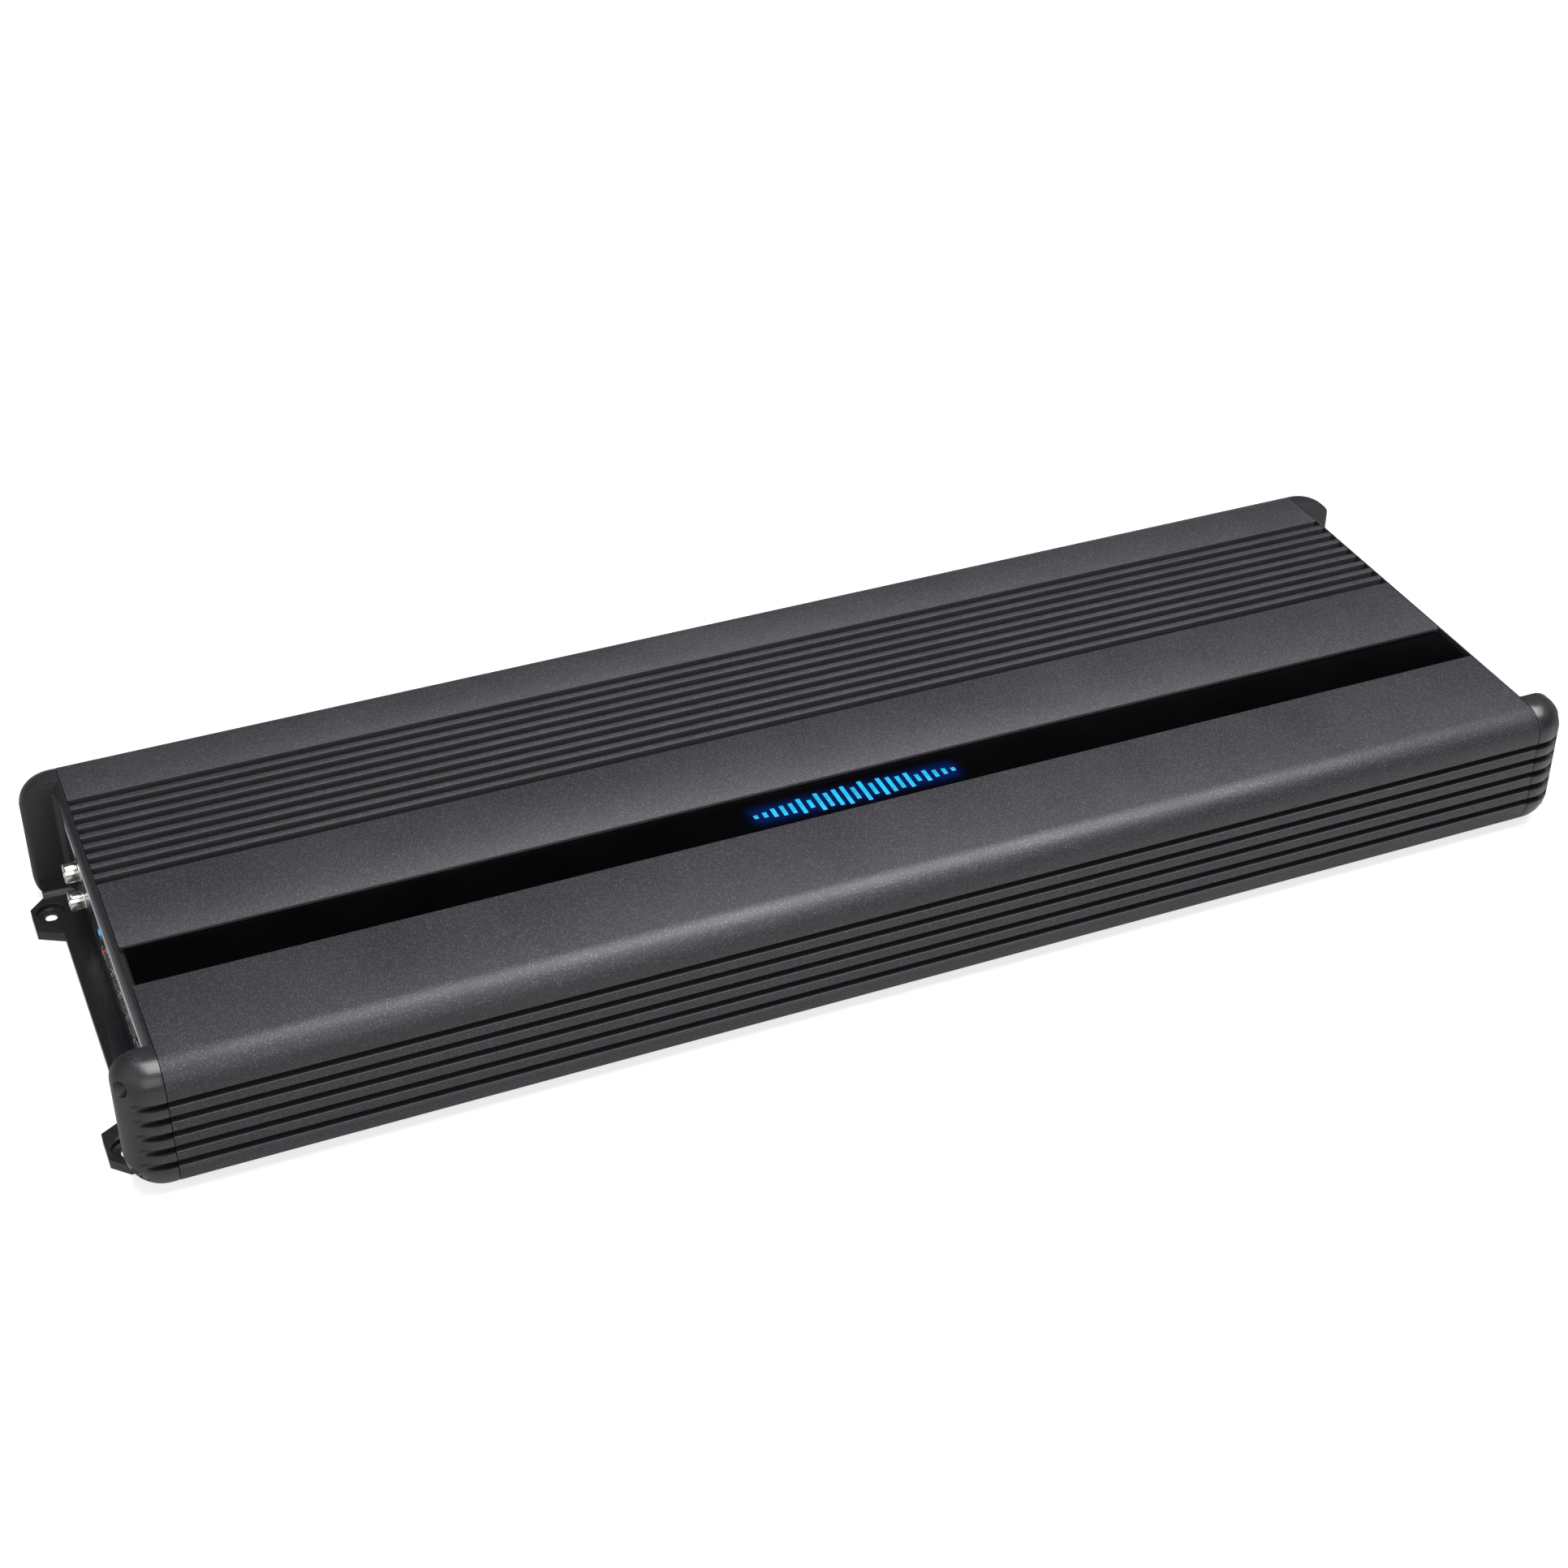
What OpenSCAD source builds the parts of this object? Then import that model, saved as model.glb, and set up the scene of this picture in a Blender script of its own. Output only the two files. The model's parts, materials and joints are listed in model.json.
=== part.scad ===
// Long car amplifier: a finned aluminium housing between two cast end caps, with its boards, power parts,
// controls and wire terminals as separate pieces.
// X runs along the housing, Y across it from front to rear, Z up. The origin is the centre of the footprint.
// Inputs and controls are at the -X end, power and speaker terminals at the +X end.

/* [Housing] */
// Length of the extruded housing
housing_l = 574; // [480:1:720]
// Width across the housing
housing_w = 208.4; // [176:0.2:260]
// Height of the housing, without the feet
housing_h = 54; // [52:0.5:70]
// Thickness of the side walls
wall_t = 7.6; // [7:0.1:10]
// Thickness of the roof
roof_t = 9.5; // [9:0.1:13]
// Radius of the long top edges
edge_r = 10.5; // [7:0.5:12]
// Radius that tucks the long bottom edges inward
tuck_r = 14; // [10:0.5:16]
// Height at which the bottom edges start to tuck in
tuck_h = 10; // [6:0.5:12]

/* [Cooling grooves] */
// Number of grooves in the roof
top_groove_n = 9; // [3:1:9]
// Pitch of the roof grooves
top_groove_pitch = 6.93; // [6:0.01:8]
// Width of a roof groove
top_groove_w = 4.5; // [3:0.1:5.4]
// Depth of the roof grooves
top_groove_d = 5; // [2:0.1:6]
// Flat band between the roof grooves and the rear face
rear_band = 31.4; // [20:0.1:40]
// Number of grooves in each side
side_groove_n = 5; // [2:1:5]
// Pitch of the side grooves
side_groove_pitch = 6.92; // [5:0.01:7]
// Height of a side groove
side_groove_w = 3.16; // [2:0.01:4]
// Depth of the side grooves
side_groove_d = 4; // [2:0.1:4.2]
// Distance from the top face to the first side groove
side_groove_top = 13.3; // [12:0.1:15]

/* [Window strip] */
// Distance from the front face to the strip's channel
channel_y = 51.7; // [40:0.1:56]
// Width of the channel
channel_w = 24.6; // [18:0.1:28]
// Depth of the channel
channel_d = 3.2; // [2.6:0.1:3.6]
// Thickness of the strip
strip_t = 2; // [1.5:0.1:2.4]
// Number of lit bars in the strip
bar_n = 23; // [9:2:27]
// Height of the tallest lit bar
bar_h = 13.6; // [6:0.1:15]

/* [End caps] */
// Width of the cap's top rail along the housing
rail_u = 3.2; // [2.6:0.1:5]
// Height of the cap's top rail
rail_h = 5.5; // [5:0.1:9]
// How far the corner blocks stand out from the housing
block_u = 17.3; // [15:0.1:21]
// Depth of each corner block across the amplifier
block_y = 17; // [15:0.1:22]
// How far the feet stand out from the housing
foot_u = 21.6; // [19:0.1:30]
// Width of the base flange between the feet
flange_u = 11.6; // [8:0.1:14]
// Thickness of the flange and the feet
base_t = 4; // [3.4:0.1:7]
// Width of a mounting slot
slot_w = 4.9; // [4:0.1:6.4]
// Length of a mounting slot from end to end
slot_l = 6.8; // [6.5:0.1:10]
// Diameter of the washer recess round a slot
recess_d = 11.4; // [10.2:0.1:12]

/* [Boards] */
// Thickness of the main board
board_t = 1.6; // [1.2:0.1:2.4]
// Height of the standoffs under the main board
standoff_h = 5.2; // [4.6:0.1:6.5]
// Thickness of the bottom cover
cover_t = 2; // [1:0.1:2.4]

/* [Power parts] */
// Number of transistors along each side
transistor_n = 12; // [4:1:14]
// Outer diameter of a transformer
transformer_d = 44; // [30:1:46]
// Diameter of a supply capacitor
supply_cap_d = 18; // [12:0.5:22]
// Height of the tall capacitors
cap_h = 30; // [18:0.5:30]

/* [Terminals] */
// Diameter of the power wire bores
power_bore_d = 10.6; // [6:0.1:11.4]
// Diameter of the speaker wire bores
speaker_bore_d = 6.8; // [4.5:0.1:7.6]
// Diameter of the power set screws
power_screw_d = 6; // [4:0.1:7]
// Diameter of the speaker set screws
speaker_screw_d = 4; // [2.5:0.1:4.6]

/* [Controls] */
// Diameter of a control knob
knob_d = 6; // [4.5:0.1:7]
// Travel of a slide switch
switch_travel = 3; // [2:0.1:4]

/* [Hidden] */
$fn = 64;
half_l = housing_l / 2;
half_w = housing_w / 2;
top_z = base_t + housing_h;
roof_z = top_z - roof_t;
wall_y = half_w - wall_t;
overcut = 1;
slip = 0.05;
fit_gap = 0.2;

// Screw ports, measured from the long face and from the top or bottom face
port_d = 3.5;
port_boss_r = 3.6;
upper_port = [7.5, 8.5];
lower_port = [6.4, 5.6];
ledge_w = 6;
ledge_h = 3.5;

// Caps
joint_gap = 0.35;
register_inset = 4.5;
rail_r = 4;
corner_flat = 0.4;
block_plan_r = max(tuck_r, edge_r) + corner_flat;
inner_edge_r = 2.2;
inner_wall_share = 0.8;
block_inner_r = min(inner_edge_r, inner_wall_share * (block_y - block_plan_r));
inner_fillet_r = 3;
foot_y = 18;
foot_bevel = 6.4;
foot_inner_bevel = 5.6;
foot_len = 15;
slot_u = 14.3;
slot_y = 28.8;
recess_depth = 2;
head_seat_u = 9.6;
cap_screw_head_d = 5.6;
cap_screw_head_h = 3.2;
cap_screw_shank_d = 3.4;
cap_screw_gap = 0.4;
cap_screw_reach = 12;
counterbore_d = 6.2;

// Panels behind the caps' windows
panel_t = 1.7;
panel_lap = 2;

// Strip light
strip_gap = 0.3;
strip_end_gap = 1.5;
floor_z = top_z - channel_d;
strip_y = -half_w + channel_y + channel_w / 2;
bar_w = 1.9;
bar_min = 2.4;
bar_floor = 0.35;
bar_turn = 75;
bar_pitch = 3.9;
motif_x = 4;
motif_offset = 1.6;
motif_y = strip_y - motif_offset;
guide_margin = [2, 1.6];
guide_l = bar_n * bar_pitch + guide_margin[0];
guide_w = bar_h + guide_margin[1];
guide_t = 1;
light_pocket_d = 3;
light_board_t = 1;
led_h = 0.9;
lead_offset = 18;
lead_x = motif_x + lead_offset;
lead_d = 1.4;
lead_hole_d = 5;
plug_size = [6, 5, 7];

// Boards
cover_top_z = base_t + cover_t;
board_z = cover_top_z + standoff_h;
board_top_z = board_z + board_t;
board_side_gap = 11;
board_end_gap = 3;
board_half_w = half_w - board_side_gap;
standoff_d = 7;
standoff_inset = 12;
standoff_y = board_half_w - standoff_inset;
standoff_x = [for (f = [-0.44, -0.14, 0.2, 0.42]) f * housing_l];
small_screw_d = 2.9;
small_head_d = 5.5;
small_head_h = 2;
screw_hole_gap = 0.3;
cover_hole_gap = 0.5;
pad_hole_gap = 1;
screw_end_gap = 0.5;
cover_screw_y = wall_y - ledge_w / 2;
cover_screw_n = 6;
cover_screw_inset = 30;
cover_screw_pitch = (housing_l - 2 * cover_screw_inset) / (cover_screw_n - 1);
cover_head_h = 1.7;

// Transistor rows
pad_t = 0.5;
pad_margin = 1;
row_end_gap = 45;
row_l = housing_l - 2 * row_end_gap;
transistor = [15.6, 4.6, 20];
transistor_pitch = row_l / transistor_n;
transistor_y = wall_y - pad_t;
lead_size = [1.2, 0.8];
lead_pitch = 5.45;
lead_inset = 0.4;
clamp_t = 2;
clamp_h = 9;
clamp_z = top_z - side_groove_top - 1.5 * side_groove_pitch - side_groove_w / 2;
clamp_y = transistor_y - transistor[1];
clamp_screw_reach = 3.4;
clamp_rise = 15.74;
lead_min = 2;
transistor_z = max(clamp_z - clamp_rise, board_top_z + lead_min);

// Wound parts and capacitors stand on the main board at these shares of the length
supply_x = 0.33 * housing_l;
transformer_x = 0.13 * housing_l;
rail_cap_x = -0.05 * housing_l;
inductor_x = -0.2 * housing_l;
chip_x = -0.36 * housing_l;
winding_t = 3;
transformer_h = 20;
transformer_hole_d = 16;
transformer_gap = 6;
transformer_pitch = transformer_d + transformer_gap;
inductor_d = 35;
inductor_hole_d = 11;
inductor_h = 17;
inductor_y = 36;
rail_cap_d = 22;
cap_gap = 5;
rail_row_gap = 4;

// Controls on the input panel
control_rise = 14.7;
control_z = board_top_z + control_rise;
control_board_u = -12.6;
control_board_h = 31;
control_board_y = [-66, 24];
pot = [8, 9.6, 9.6];
pot_front_u = -3;
pot_shaft_d = 3;
pot_hole_depth = 6;
shaft_depth = 5.5;
knob_back_u = -2.5;
knob_tip_u = 2.3;
pot_y = [4, -10, -24, -38];
switch_body = [10, 12, 6.4];
switch_front_u = -1;
switch_y = -53;
switch_rise = 6;
switch_z = [control_z + switch_rise, control_z - switch_rise];
slider = [4, 4, 2.8];
slider_tip_u = 1.4;
slider_gap = 0.3;
led_y = 17;
led_rise = 5;
led_z = [control_z + led_rise, control_z - led_rise];
led_d = 3;
led_proud = 0.2;

// Input jacks
jack_y = 56.8;
jack_z = [20.7, 34.6];
jack_body = [13, 13, 30];
barrel_d = 8.4;
barrel_tip_u = 7.75;
barrel_root_u = -4;
collar_d = 9.4;
collar_u = 2.1;
barrel_bore_d = 7;
barrel_step = 0.3;
contact_d = 3.2;
contact_bore_d = 2;
contact_floor = 2;
insulator_drop = 1.4;
contact_drop = 1.6;
remote_jack_y = 34;
remote_size = [13, 12, 12];
remote_opening = [9, 9.4, 7];
remote_drop = 0.1;

// Terminals on the terminal panel
terminal_u = [-16, 11];
terminal_z = cover_top_z + fit_gap;
post_u = [-14, 9.5];
post_z = 8.5;
tail = [8, 5, 1.5];
power_post = [17, 20.5];
power_y = [-52, -32];
power_block_y = [-63, -8];
power_block_h = 27;
speaker_post = [13, 17];
speaker_y = [24, 42];
speaker_block_y = [14, 52];
speaker_block_h = 23;
trigger_post = [8, 13];
trigger_y = -15;
trigger_bore_d = 4.2;
trigger_screw_d = 2.5;
bore_rise = 8;
bore_depth = 16;
screw_u = 5.5;
screw_gap = 0.4;
screw_top_gap = 0.3;
entry_gap = 0.6;

// ---------- shared shapes ----------

// Extrudes a Y-Z outline, drawn from the housing's bottom face, along X
module along_x(x0, length) {
    translate([x0, 0, base_t]) rotate([90, 0, 90]) linear_extrude(length) children();
}

// Extrudes a U-Z outline across Y
module along_y(y0, length) {
    translate([0, y0 + length, 0]) rotate([90, 0, 0]) linear_extrude(length) children();
}

// A cylinder lying along X from x0 to x1
module rod_x(x0, x1, y, z, d) {
    translate([x0, y, z]) rotate([0, 90, 0]) cylinder(d = d, h = x1 - x0);
}

// Puts an end cap's pieces at the +X end, or mirrors them to the -X end
module at_right() {
    translate([half_l, 0, 0]) children();
}

module at_left() {
    mirror([1, 0, 0]) translate([half_l, 0, 0]) children();
}

// Outer outline shared by the housing and the caps
module outline() {
    intersection() {
        union() {
            translate([-half_w, 0]) square([housing_w, housing_h - edge_r]);
            translate([edge_r - half_w, 0]) square([housing_w - 2 * edge_r, housing_h]);
            for (s = [-1, 1]) {
                translate([s * (half_w - edge_r), housing_h - edge_r]) circle(edge_r);
            }
        }
        union() {
            translate([-half_w, tuck_h]) square([housing_w, housing_h]);
            translate([tuck_r - half_w, 0]) square([housing_w - 2 * tuck_r, housing_h]);
            for (s = [-1, 1]) {
                translate([s * (half_w - tuck_r), tuck_h]) circle(tuck_r);
            }
        }
    }
}

module port_centres() {
    for (s = [-1, 1]) {
        translate([s * (half_w - upper_port[0]), housing_h - upper_port[1]]) children();
        translate([s * (half_w - lower_port[0]), lower_port[1]]) children();
    }
}

function side_groove_z(i) = housing_h - side_groove_top - side_groove_w - i * side_groove_pitch;

// ---------- housing ----------

module cavity() {
    difference() {
        translate([-wall_y, -overcut]) square([2 * wall_y, housing_h - roof_t + overcut]);
        port_centres() circle(port_boss_r);
        for (s = [-1, 1]) {
            translate([s * (wall_y - ledge_w / 2) - ledge_w / 2, cover_t]) square([ledge_w, ledge_h]);
        }
    }
}

module side_grooves(depth) {
    for (s = [-1, 1], i = [0 : side_groove_n - 1]) {
        translate([s * half_w - depth, side_groove_z(i)]) square([2 * depth, side_groove_w]);
    }
}

module top_grooves() {
    for (i = [0 : top_groove_n - 1]) {
        translate([half_w - rear_band - i * top_groove_pitch - top_groove_w, housing_h - top_groove_d])
            square([top_groove_w, top_groove_d + overcut]);
    }
}

module housing_section() {
    difference() {
        outline();
        cavity();
        side_grooves(side_groove_d);
        top_grooves();
        translate([channel_y - half_w, housing_h - channel_d]) square([channel_w, channel_d + overcut]);
        port_centres() circle(d = port_d);
    }
}

module clamp_screw_places() {
    for (i = [1 : 2 : transistor_n - 1]) {
        translate([i * transistor_pitch - row_l / 2, 0, clamp_z]) children();
    }
}

module cover_screw_places() {
    for (s = [-1, 1], i = [0 : cover_screw_n - 1]) {
        translate([(i - (cover_screw_n - 1) / 2) * cover_screw_pitch, s * cover_screw_y, 0]) children();
    }
}

module housing() {
    color([0.14, 0.14, 0.15]) difference() {
        along_x(-half_l, housing_l) housing_section();
        translate([motif_x - guide_l / 2, motif_y - guide_w / 2, floor_z - light_pocket_d])
            cube([guide_l, guide_w, light_pocket_d + overcut]);
        translate([lead_x, motif_y, roof_z - overcut]) cylinder(d = lead_hole_d, h = roof_t);
        for (s = [-1, 1]) {
            clamp_screw_places() translate([0, s * (wall_y - overcut), 0]) rotate([-s * 90, 0, 0])
                cylinder(d = small_screw_d + 2 * slip, h = clamp_screw_reach + overcut + fit_gap);
        }
        cover_screw_places() translate([0, 0, base_t])
            cylinder(d = small_screw_d + 2 * slip, h = cover_t + ledge_h + overcut);
    }
}

module bottom_cover() {
    cover_gap = 0.5;
    color([0.12, 0.12, 0.13]) difference() {
        translate([cover_gap - half_l, cover_gap - wall_y, base_t])
            cube([housing_l - 2 * cover_gap, 2 * (wall_y - cover_gap), cover_t]);
        cover_screw_places() translate([0, 0, base_t - overcut])
            cylinder(d = small_screw_d + cover_hole_gap, h = cover_t + 2 * overcut);
    }
}

module bottom_cover_screws() {
    color([0.2, 0.2, 0.21]) cover_screw_places() {
        translate([0, 0, base_t - cover_head_h]) cylinder(d = small_head_d, h = cover_head_h);
        translate([0, 0, base_t]) cylinder(d = small_screw_d, h = cover_t + ledge_h - screw_end_gap);
    }
}

// ---------- end caps ----------

// The wall and top rail between the corner blocks, before its window is cut
module rail() {
    half = half_w - block_y + overcut;
    along_y(-half, 2 * half) intersection() {
        translate([joint_gap, 0]) square([rail_u - joint_gap, top_z]);
        union() {
            square([rail_u, top_z - rail_r]);
            translate([rail_u - rail_r, top_z - rail_r]) circle(rail_r);
        }
    }
}

// Section through a corner block's outer edge, from its corner axis outward
module block_edge() {
    intersection() {
        square([block_plan_r, housing_h]);
        union() {
            square([block_plan_r, housing_h - edge_r]);
            square([block_plan_r - edge_r, housing_h]);
            translate([block_plan_r - edge_r, housing_h - edge_r]) circle(edge_r);
        }
        union() {
            translate([0, tuck_h]) square([block_plan_r, housing_h]);
            square([block_plan_r - tuck_r, housing_h]);
            translate([block_plan_r - tuck_r, tuck_h]) circle(tuck_r);
        }
    }
}

// The rear corner block, with one rolled outer corner and a small rounding on its inner edge
module corner_block() {
    corner_u = block_u - block_plan_r;
    corner_y = half_w - block_plan_r;
    inner_y = half_w - block_y;
    difference() {
        union() {
            translate([corner_u, corner_y, base_t]) rotate_extrude(angle = 90) block_edge();
            along_x(joint_gap, corner_u - joint_gap) translate([corner_y, 0]) block_edge();
            along_y(inner_y, block_y - block_plan_r) translate([corner_u, base_t]) block_edge();
            translate([joint_gap, inner_y, base_t])
                cube([corner_u - joint_gap, block_y - block_plan_r, housing_h]);
        }
        translate([block_u - block_inner_r, inner_y - overcut, 0]) linear_extrude(top_z) difference() {
            square([block_inner_r + overcut, block_inner_r + overcut]);
            translate([0, block_inner_r + overcut]) circle(block_inner_r);
        }
    }
}

module corner_fillet() {
    difference() {
        square(inner_fillet_r);
        translate([inner_fillet_r, inner_fillet_r]) circle(inner_fillet_r);
    }
}

// Concave fillets where the rear block's inner wall meets the panel and the foot
module block_fillets() {
    wall = half_w - block_y;
    translate([panel_t, wall, base_t]) linear_extrude(housing_h - rail_h) mirror([0, 1]) corner_fillet();
    along_x(panel_t, block_u - block_inner_r - panel_t) translate([wall, 0]) mirror([1, 0])
        corner_fillet();
}

module foot_plan() {
    front = half_w - foot_y;
    tip = foot_y + foot_bevel;
    outer = half_w - tip;
    inner = outer - foot_len;
    polygon([[0, front], [foot_u - foot_bevel, front], [foot_u, outer], [foot_u, inner],
        [flange_u, inner - foot_inner_bevel], [flange_u, foot_inner_bevel - inner], [foot_u, -inner],
        [foot_u, -outer], [foot_u - foot_bevel, -front], [0, -front]]);
}

module window_cut() {
    half = half_w - block_y;
    translate([-overcut, -half, base_t]) cube([rail_u + 2 * overcut, 2 * half, housing_h - rail_h]);
    translate([-overcut, -half - panel_lap - fit_gap, base_t])
        cube([panel_t + overcut, 2 * (half + panel_lap + fit_gap), housing_h - rail_h + panel_lap]);
}

module mounting_slot() {
    straight = slot_l - slot_w;
    translate([slot_u, half_w - slot_y, base_t - recess_depth]) cylinder(d = recess_d, h = base_t);
    for (s = [-1, 1]) {
        translate([slot_u, half_w - slot_y + s * straight / 2, -overcut]) cylinder(d = slot_w, h = base_t);
    }
    translate([slot_u - slot_w / 2, half_w - slot_y - straight / 2, -overcut]) cube([slot_w, straight, base_t]);
}

module block_grooves() {
    for (i = [0 : side_groove_n - 1]) {
        z = base_t + side_groove_z(i) + side_groove_w / 2;
        bottom_y = half_w - side_groove_d + side_groove_w / 2;
        rod_x(-overcut, block_u + overcut, bottom_y, z, side_groove_w);
        translate([-overcut, bottom_y, z - side_groove_w / 2])
            cube([block_u + 2 * overcut, side_groove_d, side_groove_w]);
    }
}

module cap_screw_places() {
    for (s = [-1, 1]) {
        translate([0, s * (half_w - upper_port[0]), top_z - upper_port[1]]) children();
        translate([0, s * (half_w - lower_port[0]), base_t + lower_port[1]]) children();
    }
}

module front_and_rear() {
    children();
    mirror([0, 1, 0]) children();
}

module cap_casting() {
    difference() {
        union() {
            rail();
            translate([0, register_inset - half_w, base_t + register_inset])
                cube([joint_gap + 1, housing_w - 2 * register_inset, housing_h - 2 * register_inset]);
            front_and_rear() corner_block();
            linear_extrude(base_t) foot_plan();
        }
        window_cut();
    }
    front_and_rear() block_fillets();
}

module end_cap() {
    difference() {
        cap_casting();
        front_and_rear() {
            mounting_slot();
            block_grooves();
        }
        cap_screw_places() {
            rod_x(-overcut, head_seat_u + overcut, 0, 0, cap_screw_shank_d + cap_screw_gap);
            rod_x(head_seat_u, block_u + overcut, 0, 0, counterbore_d);
        }
    }
}

module left_end_cap() {
    color([0.15, 0.15, 0.16]) at_left() end_cap();
}

module right_end_cap() {
    color([0.15, 0.15, 0.16]) at_right() end_cap();
}

module hex_head_screw() {
    socket_d = 3;
    socket_h = 1.8;
    difference() {
        rod_x(head_seat_u, head_seat_u + cap_screw_head_h, 0, 0, cap_screw_head_d);
        translate([head_seat_u + cap_screw_head_h - socket_h, 0, 0]) rotate([0, 90, 0])
            cylinder(d = socket_d, h = socket_h + overcut, $fn = 6);
    }
    rod_x(-cap_screw_reach, head_seat_u, 0, 0, cap_screw_shank_d);
}

module left_cap_screws() {
    color([0.1, 0.1, 0.1]) at_left() cap_screw_places() hex_head_screw();
}

module right_cap_screws() {
    color([0.1, 0.1, 0.1]) at_right() cap_screw_places() hex_head_screw();
}

// ---------- panels ----------

module blank_panel() {
    half = half_w - block_y + panel_lap;
    translate([0, -half, base_t + fit_gap])
        cube([panel_t, 2 * half, housing_h - rail_h + panel_lap - 2 * fit_gap]);
}

module panel_hole(y, z, d) {
    rod_x(-overcut, rail_u, y, z, d);
}

module panel_slot(y0, y1, z0, z1) {
    translate([-overcut, y0, z0]) cube([rail_u + overcut, y1 - y0, z1 - z0]);
}

module input_panel() {
    hole_gap = 0.8;
    slot_y_half = (slider[1] + switch_travel) / 2 + slider_gap;
    slot_z_half = slider[2] / 2 + slider_gap;
    color([0.09, 0.09, 0.1]) at_left() difference() {
        blank_panel();
        for (z = jack_z) {
            panel_hole(jack_y, z, collar_d + 2 * fit_gap);
        }
        for (y = pot_y) {
            panel_hole(y, control_z, knob_d + hole_gap);
        }
        for (z = led_z) {
            panel_hole(led_y, z, led_d + 2 * slip);
        }
        for (z = switch_z) {
            panel_slot(switch_y - slot_y_half, switch_y + slot_y_half, z - slot_z_half, z + slot_z_half);
        }
        panel_slot(remote_jack_y - remote_size[1] / 2 - fit_gap, remote_jack_y + remote_size[1] / 2 + fit_gap,
            board_top_z - fit_gap, board_top_z + remote_size[2] + fit_gap);
    }
}

module terminal_panel() {
    color([0.09, 0.09, 0.1]) at_right() difference() {
        blank_panel();
        panel_slot(power_block_y[0] - fit_gap, power_block_y[1] + fit_gap, terminal_z - fit_gap,
            terminal_z + power_block_h + fit_gap);
        panel_slot(speaker_block_y[0] - fit_gap, speaker_block_y[1] + fit_gap, terminal_z - fit_gap,
            terminal_z + speaker_block_h + fit_gap);
    }
}

// ---------- window strip and its light ----------

// Half height of lit bar i, a plain pulse that swells in the middle
function bar_size(i) = let (t = (i - (bar_n - 1) / 2) / ((bar_n - 1) / 2))
    bar_min + (bar_h - bar_min) * (1 - t * t) * (bar_floor + (1 - bar_floor) * abs(cos(i * bar_turn)));

module light_bars(z, h) {
    for (i = [0 : bar_n - 1]) {
        translate([motif_x + (i - (bar_n - 1) / 2) * bar_pitch - bar_w / 2, motif_y - bar_size(i) / 2, z])
            cube([bar_w, bar_size(i), h]);
    }
}

module window_strip() {
    color([0.01, 0.01, 0.012]) difference() {
        translate([strip_end_gap - half_l, strip_y - channel_w / 2 + strip_gap, floor_z])
            cube([housing_l - 2 * strip_end_gap, channel_w - 2 * strip_gap, strip_t]);
        light_bars(floor_z - overcut, strip_t + 2 * overcut);
    }
}

module strip_light() {
    color([0.1, 0.6, 0.95]) union() {
        light_bars(floor_z - guide_t, guide_t + strip_t);
        translate([motif_x - guide_l / 2 + fit_gap, motif_y - guide_w / 2 + fit_gap, floor_z - guide_t])
            cube([guide_l - 2 * fit_gap, guide_w - 2 * fit_gap, guide_t]);
    }
}

module light_board() {
    color([0.85, 0.87, 0.85]) translate([motif_x - guide_l / 2 + fit_gap, motif_y - guide_w / 2 + fit_gap,
        floor_z - light_pocket_d]) cube([guide_l - 2 * fit_gap, guide_w - 2 * fit_gap, light_board_t]);
}

module light_leds() {
    led_size = 3;
    led_n = 8;
    color([0.9, 0.9, 0.75]) for (i = [0 : led_n - 1]) {
        translate([motif_x + (i - (led_n - 1) / 2) * guide_l / led_n - led_size / 2, motif_y - led_size / 2,
            floor_z - light_pocket_d + light_board_t]) cube([led_size, led_size, led_h]);
    }
}

module light_lead() {
    plug_top = board_top_z + plug_size[2];
    color([0.7, 0.1, 0.08]) for (s = [-1, 1]) {
        translate([lead_x + s * lead_d / 2, motif_y, plug_top])
            cylinder(d = lead_d - slip, h = floor_z - light_pocket_d - plug_top);
    }
}

module light_plug() {
    color([0.92, 0.9, 0.85]) translate([lead_x - plug_size[0] / 2, motif_y - plug_size[1] / 2, board_top_z])
        cube(plug_size);
}

// ---------- boards ----------

module standoff_places() {
    for (x = standoff_x, s = [-1, 1]) {
        translate([x, s * standoff_y, 0]) children();
    }
}

module main_board() {
    color([0.05, 0.25, 0.12]) difference() {
        translate([board_end_gap - half_l, -board_half_w, board_z])
            cube([housing_l - 2 * board_end_gap, 2 * board_half_w, board_t]);
        standoff_places() translate([0, 0, board_z - overcut])
            cylinder(d = small_screw_d + screw_hole_gap, h = board_t + 2 * overcut);
        for (y_range = [power_block_y, speaker_block_y]) {
            translate([half_l + terminal_u[0] - fit_gap, y_range[0] - fit_gap, board_z - overcut])
                cube([board_half_w, y_range[1] - y_range[0] + 2 * fit_gap, board_t + 2 * overcut]);
        }
    }
}

module board_standoffs() {
    color([0.75, 0.62, 0.3]) standoff_places() translate([0, 0, cover_top_z]) difference() {
        cylinder(d = standoff_d, h = standoff_h);
        translate([0, 0, -overcut]) cylinder(d = small_screw_d + 2 * slip, h = standoff_h + 2 * overcut);
    }
}

module board_screws() {
    color([0.75, 0.76, 0.78]) standoff_places() {
        translate([0, 0, board_top_z]) cylinder(d = small_head_d, h = small_head_h);
        translate([0, 0, cover_top_z + screw_end_gap])
            cylinder(d = small_screw_d, h = board_top_z - cover_top_z - screw_end_gap);
    }
}

// ---------- transistors and their clamps, drawn for the rear wall ----------

module transistor_row() {
    for (i = [0 : transistor_n - 1]) {
        x = (i + 0.5) * transistor_pitch - row_l / 2;
        translate([x - transistor[0] / 2, transistor_y - transistor[1], transistor_z]) cube(transistor);
        for (k = [-1, 0, 1]) {
            translate([x + k * lead_pitch - lead_size[0] / 2, clamp_y + lead_inset, board_top_z])
                cube([lead_size[0], lead_size[1], transistor_z - board_top_z]);
        }
    }
}

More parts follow.
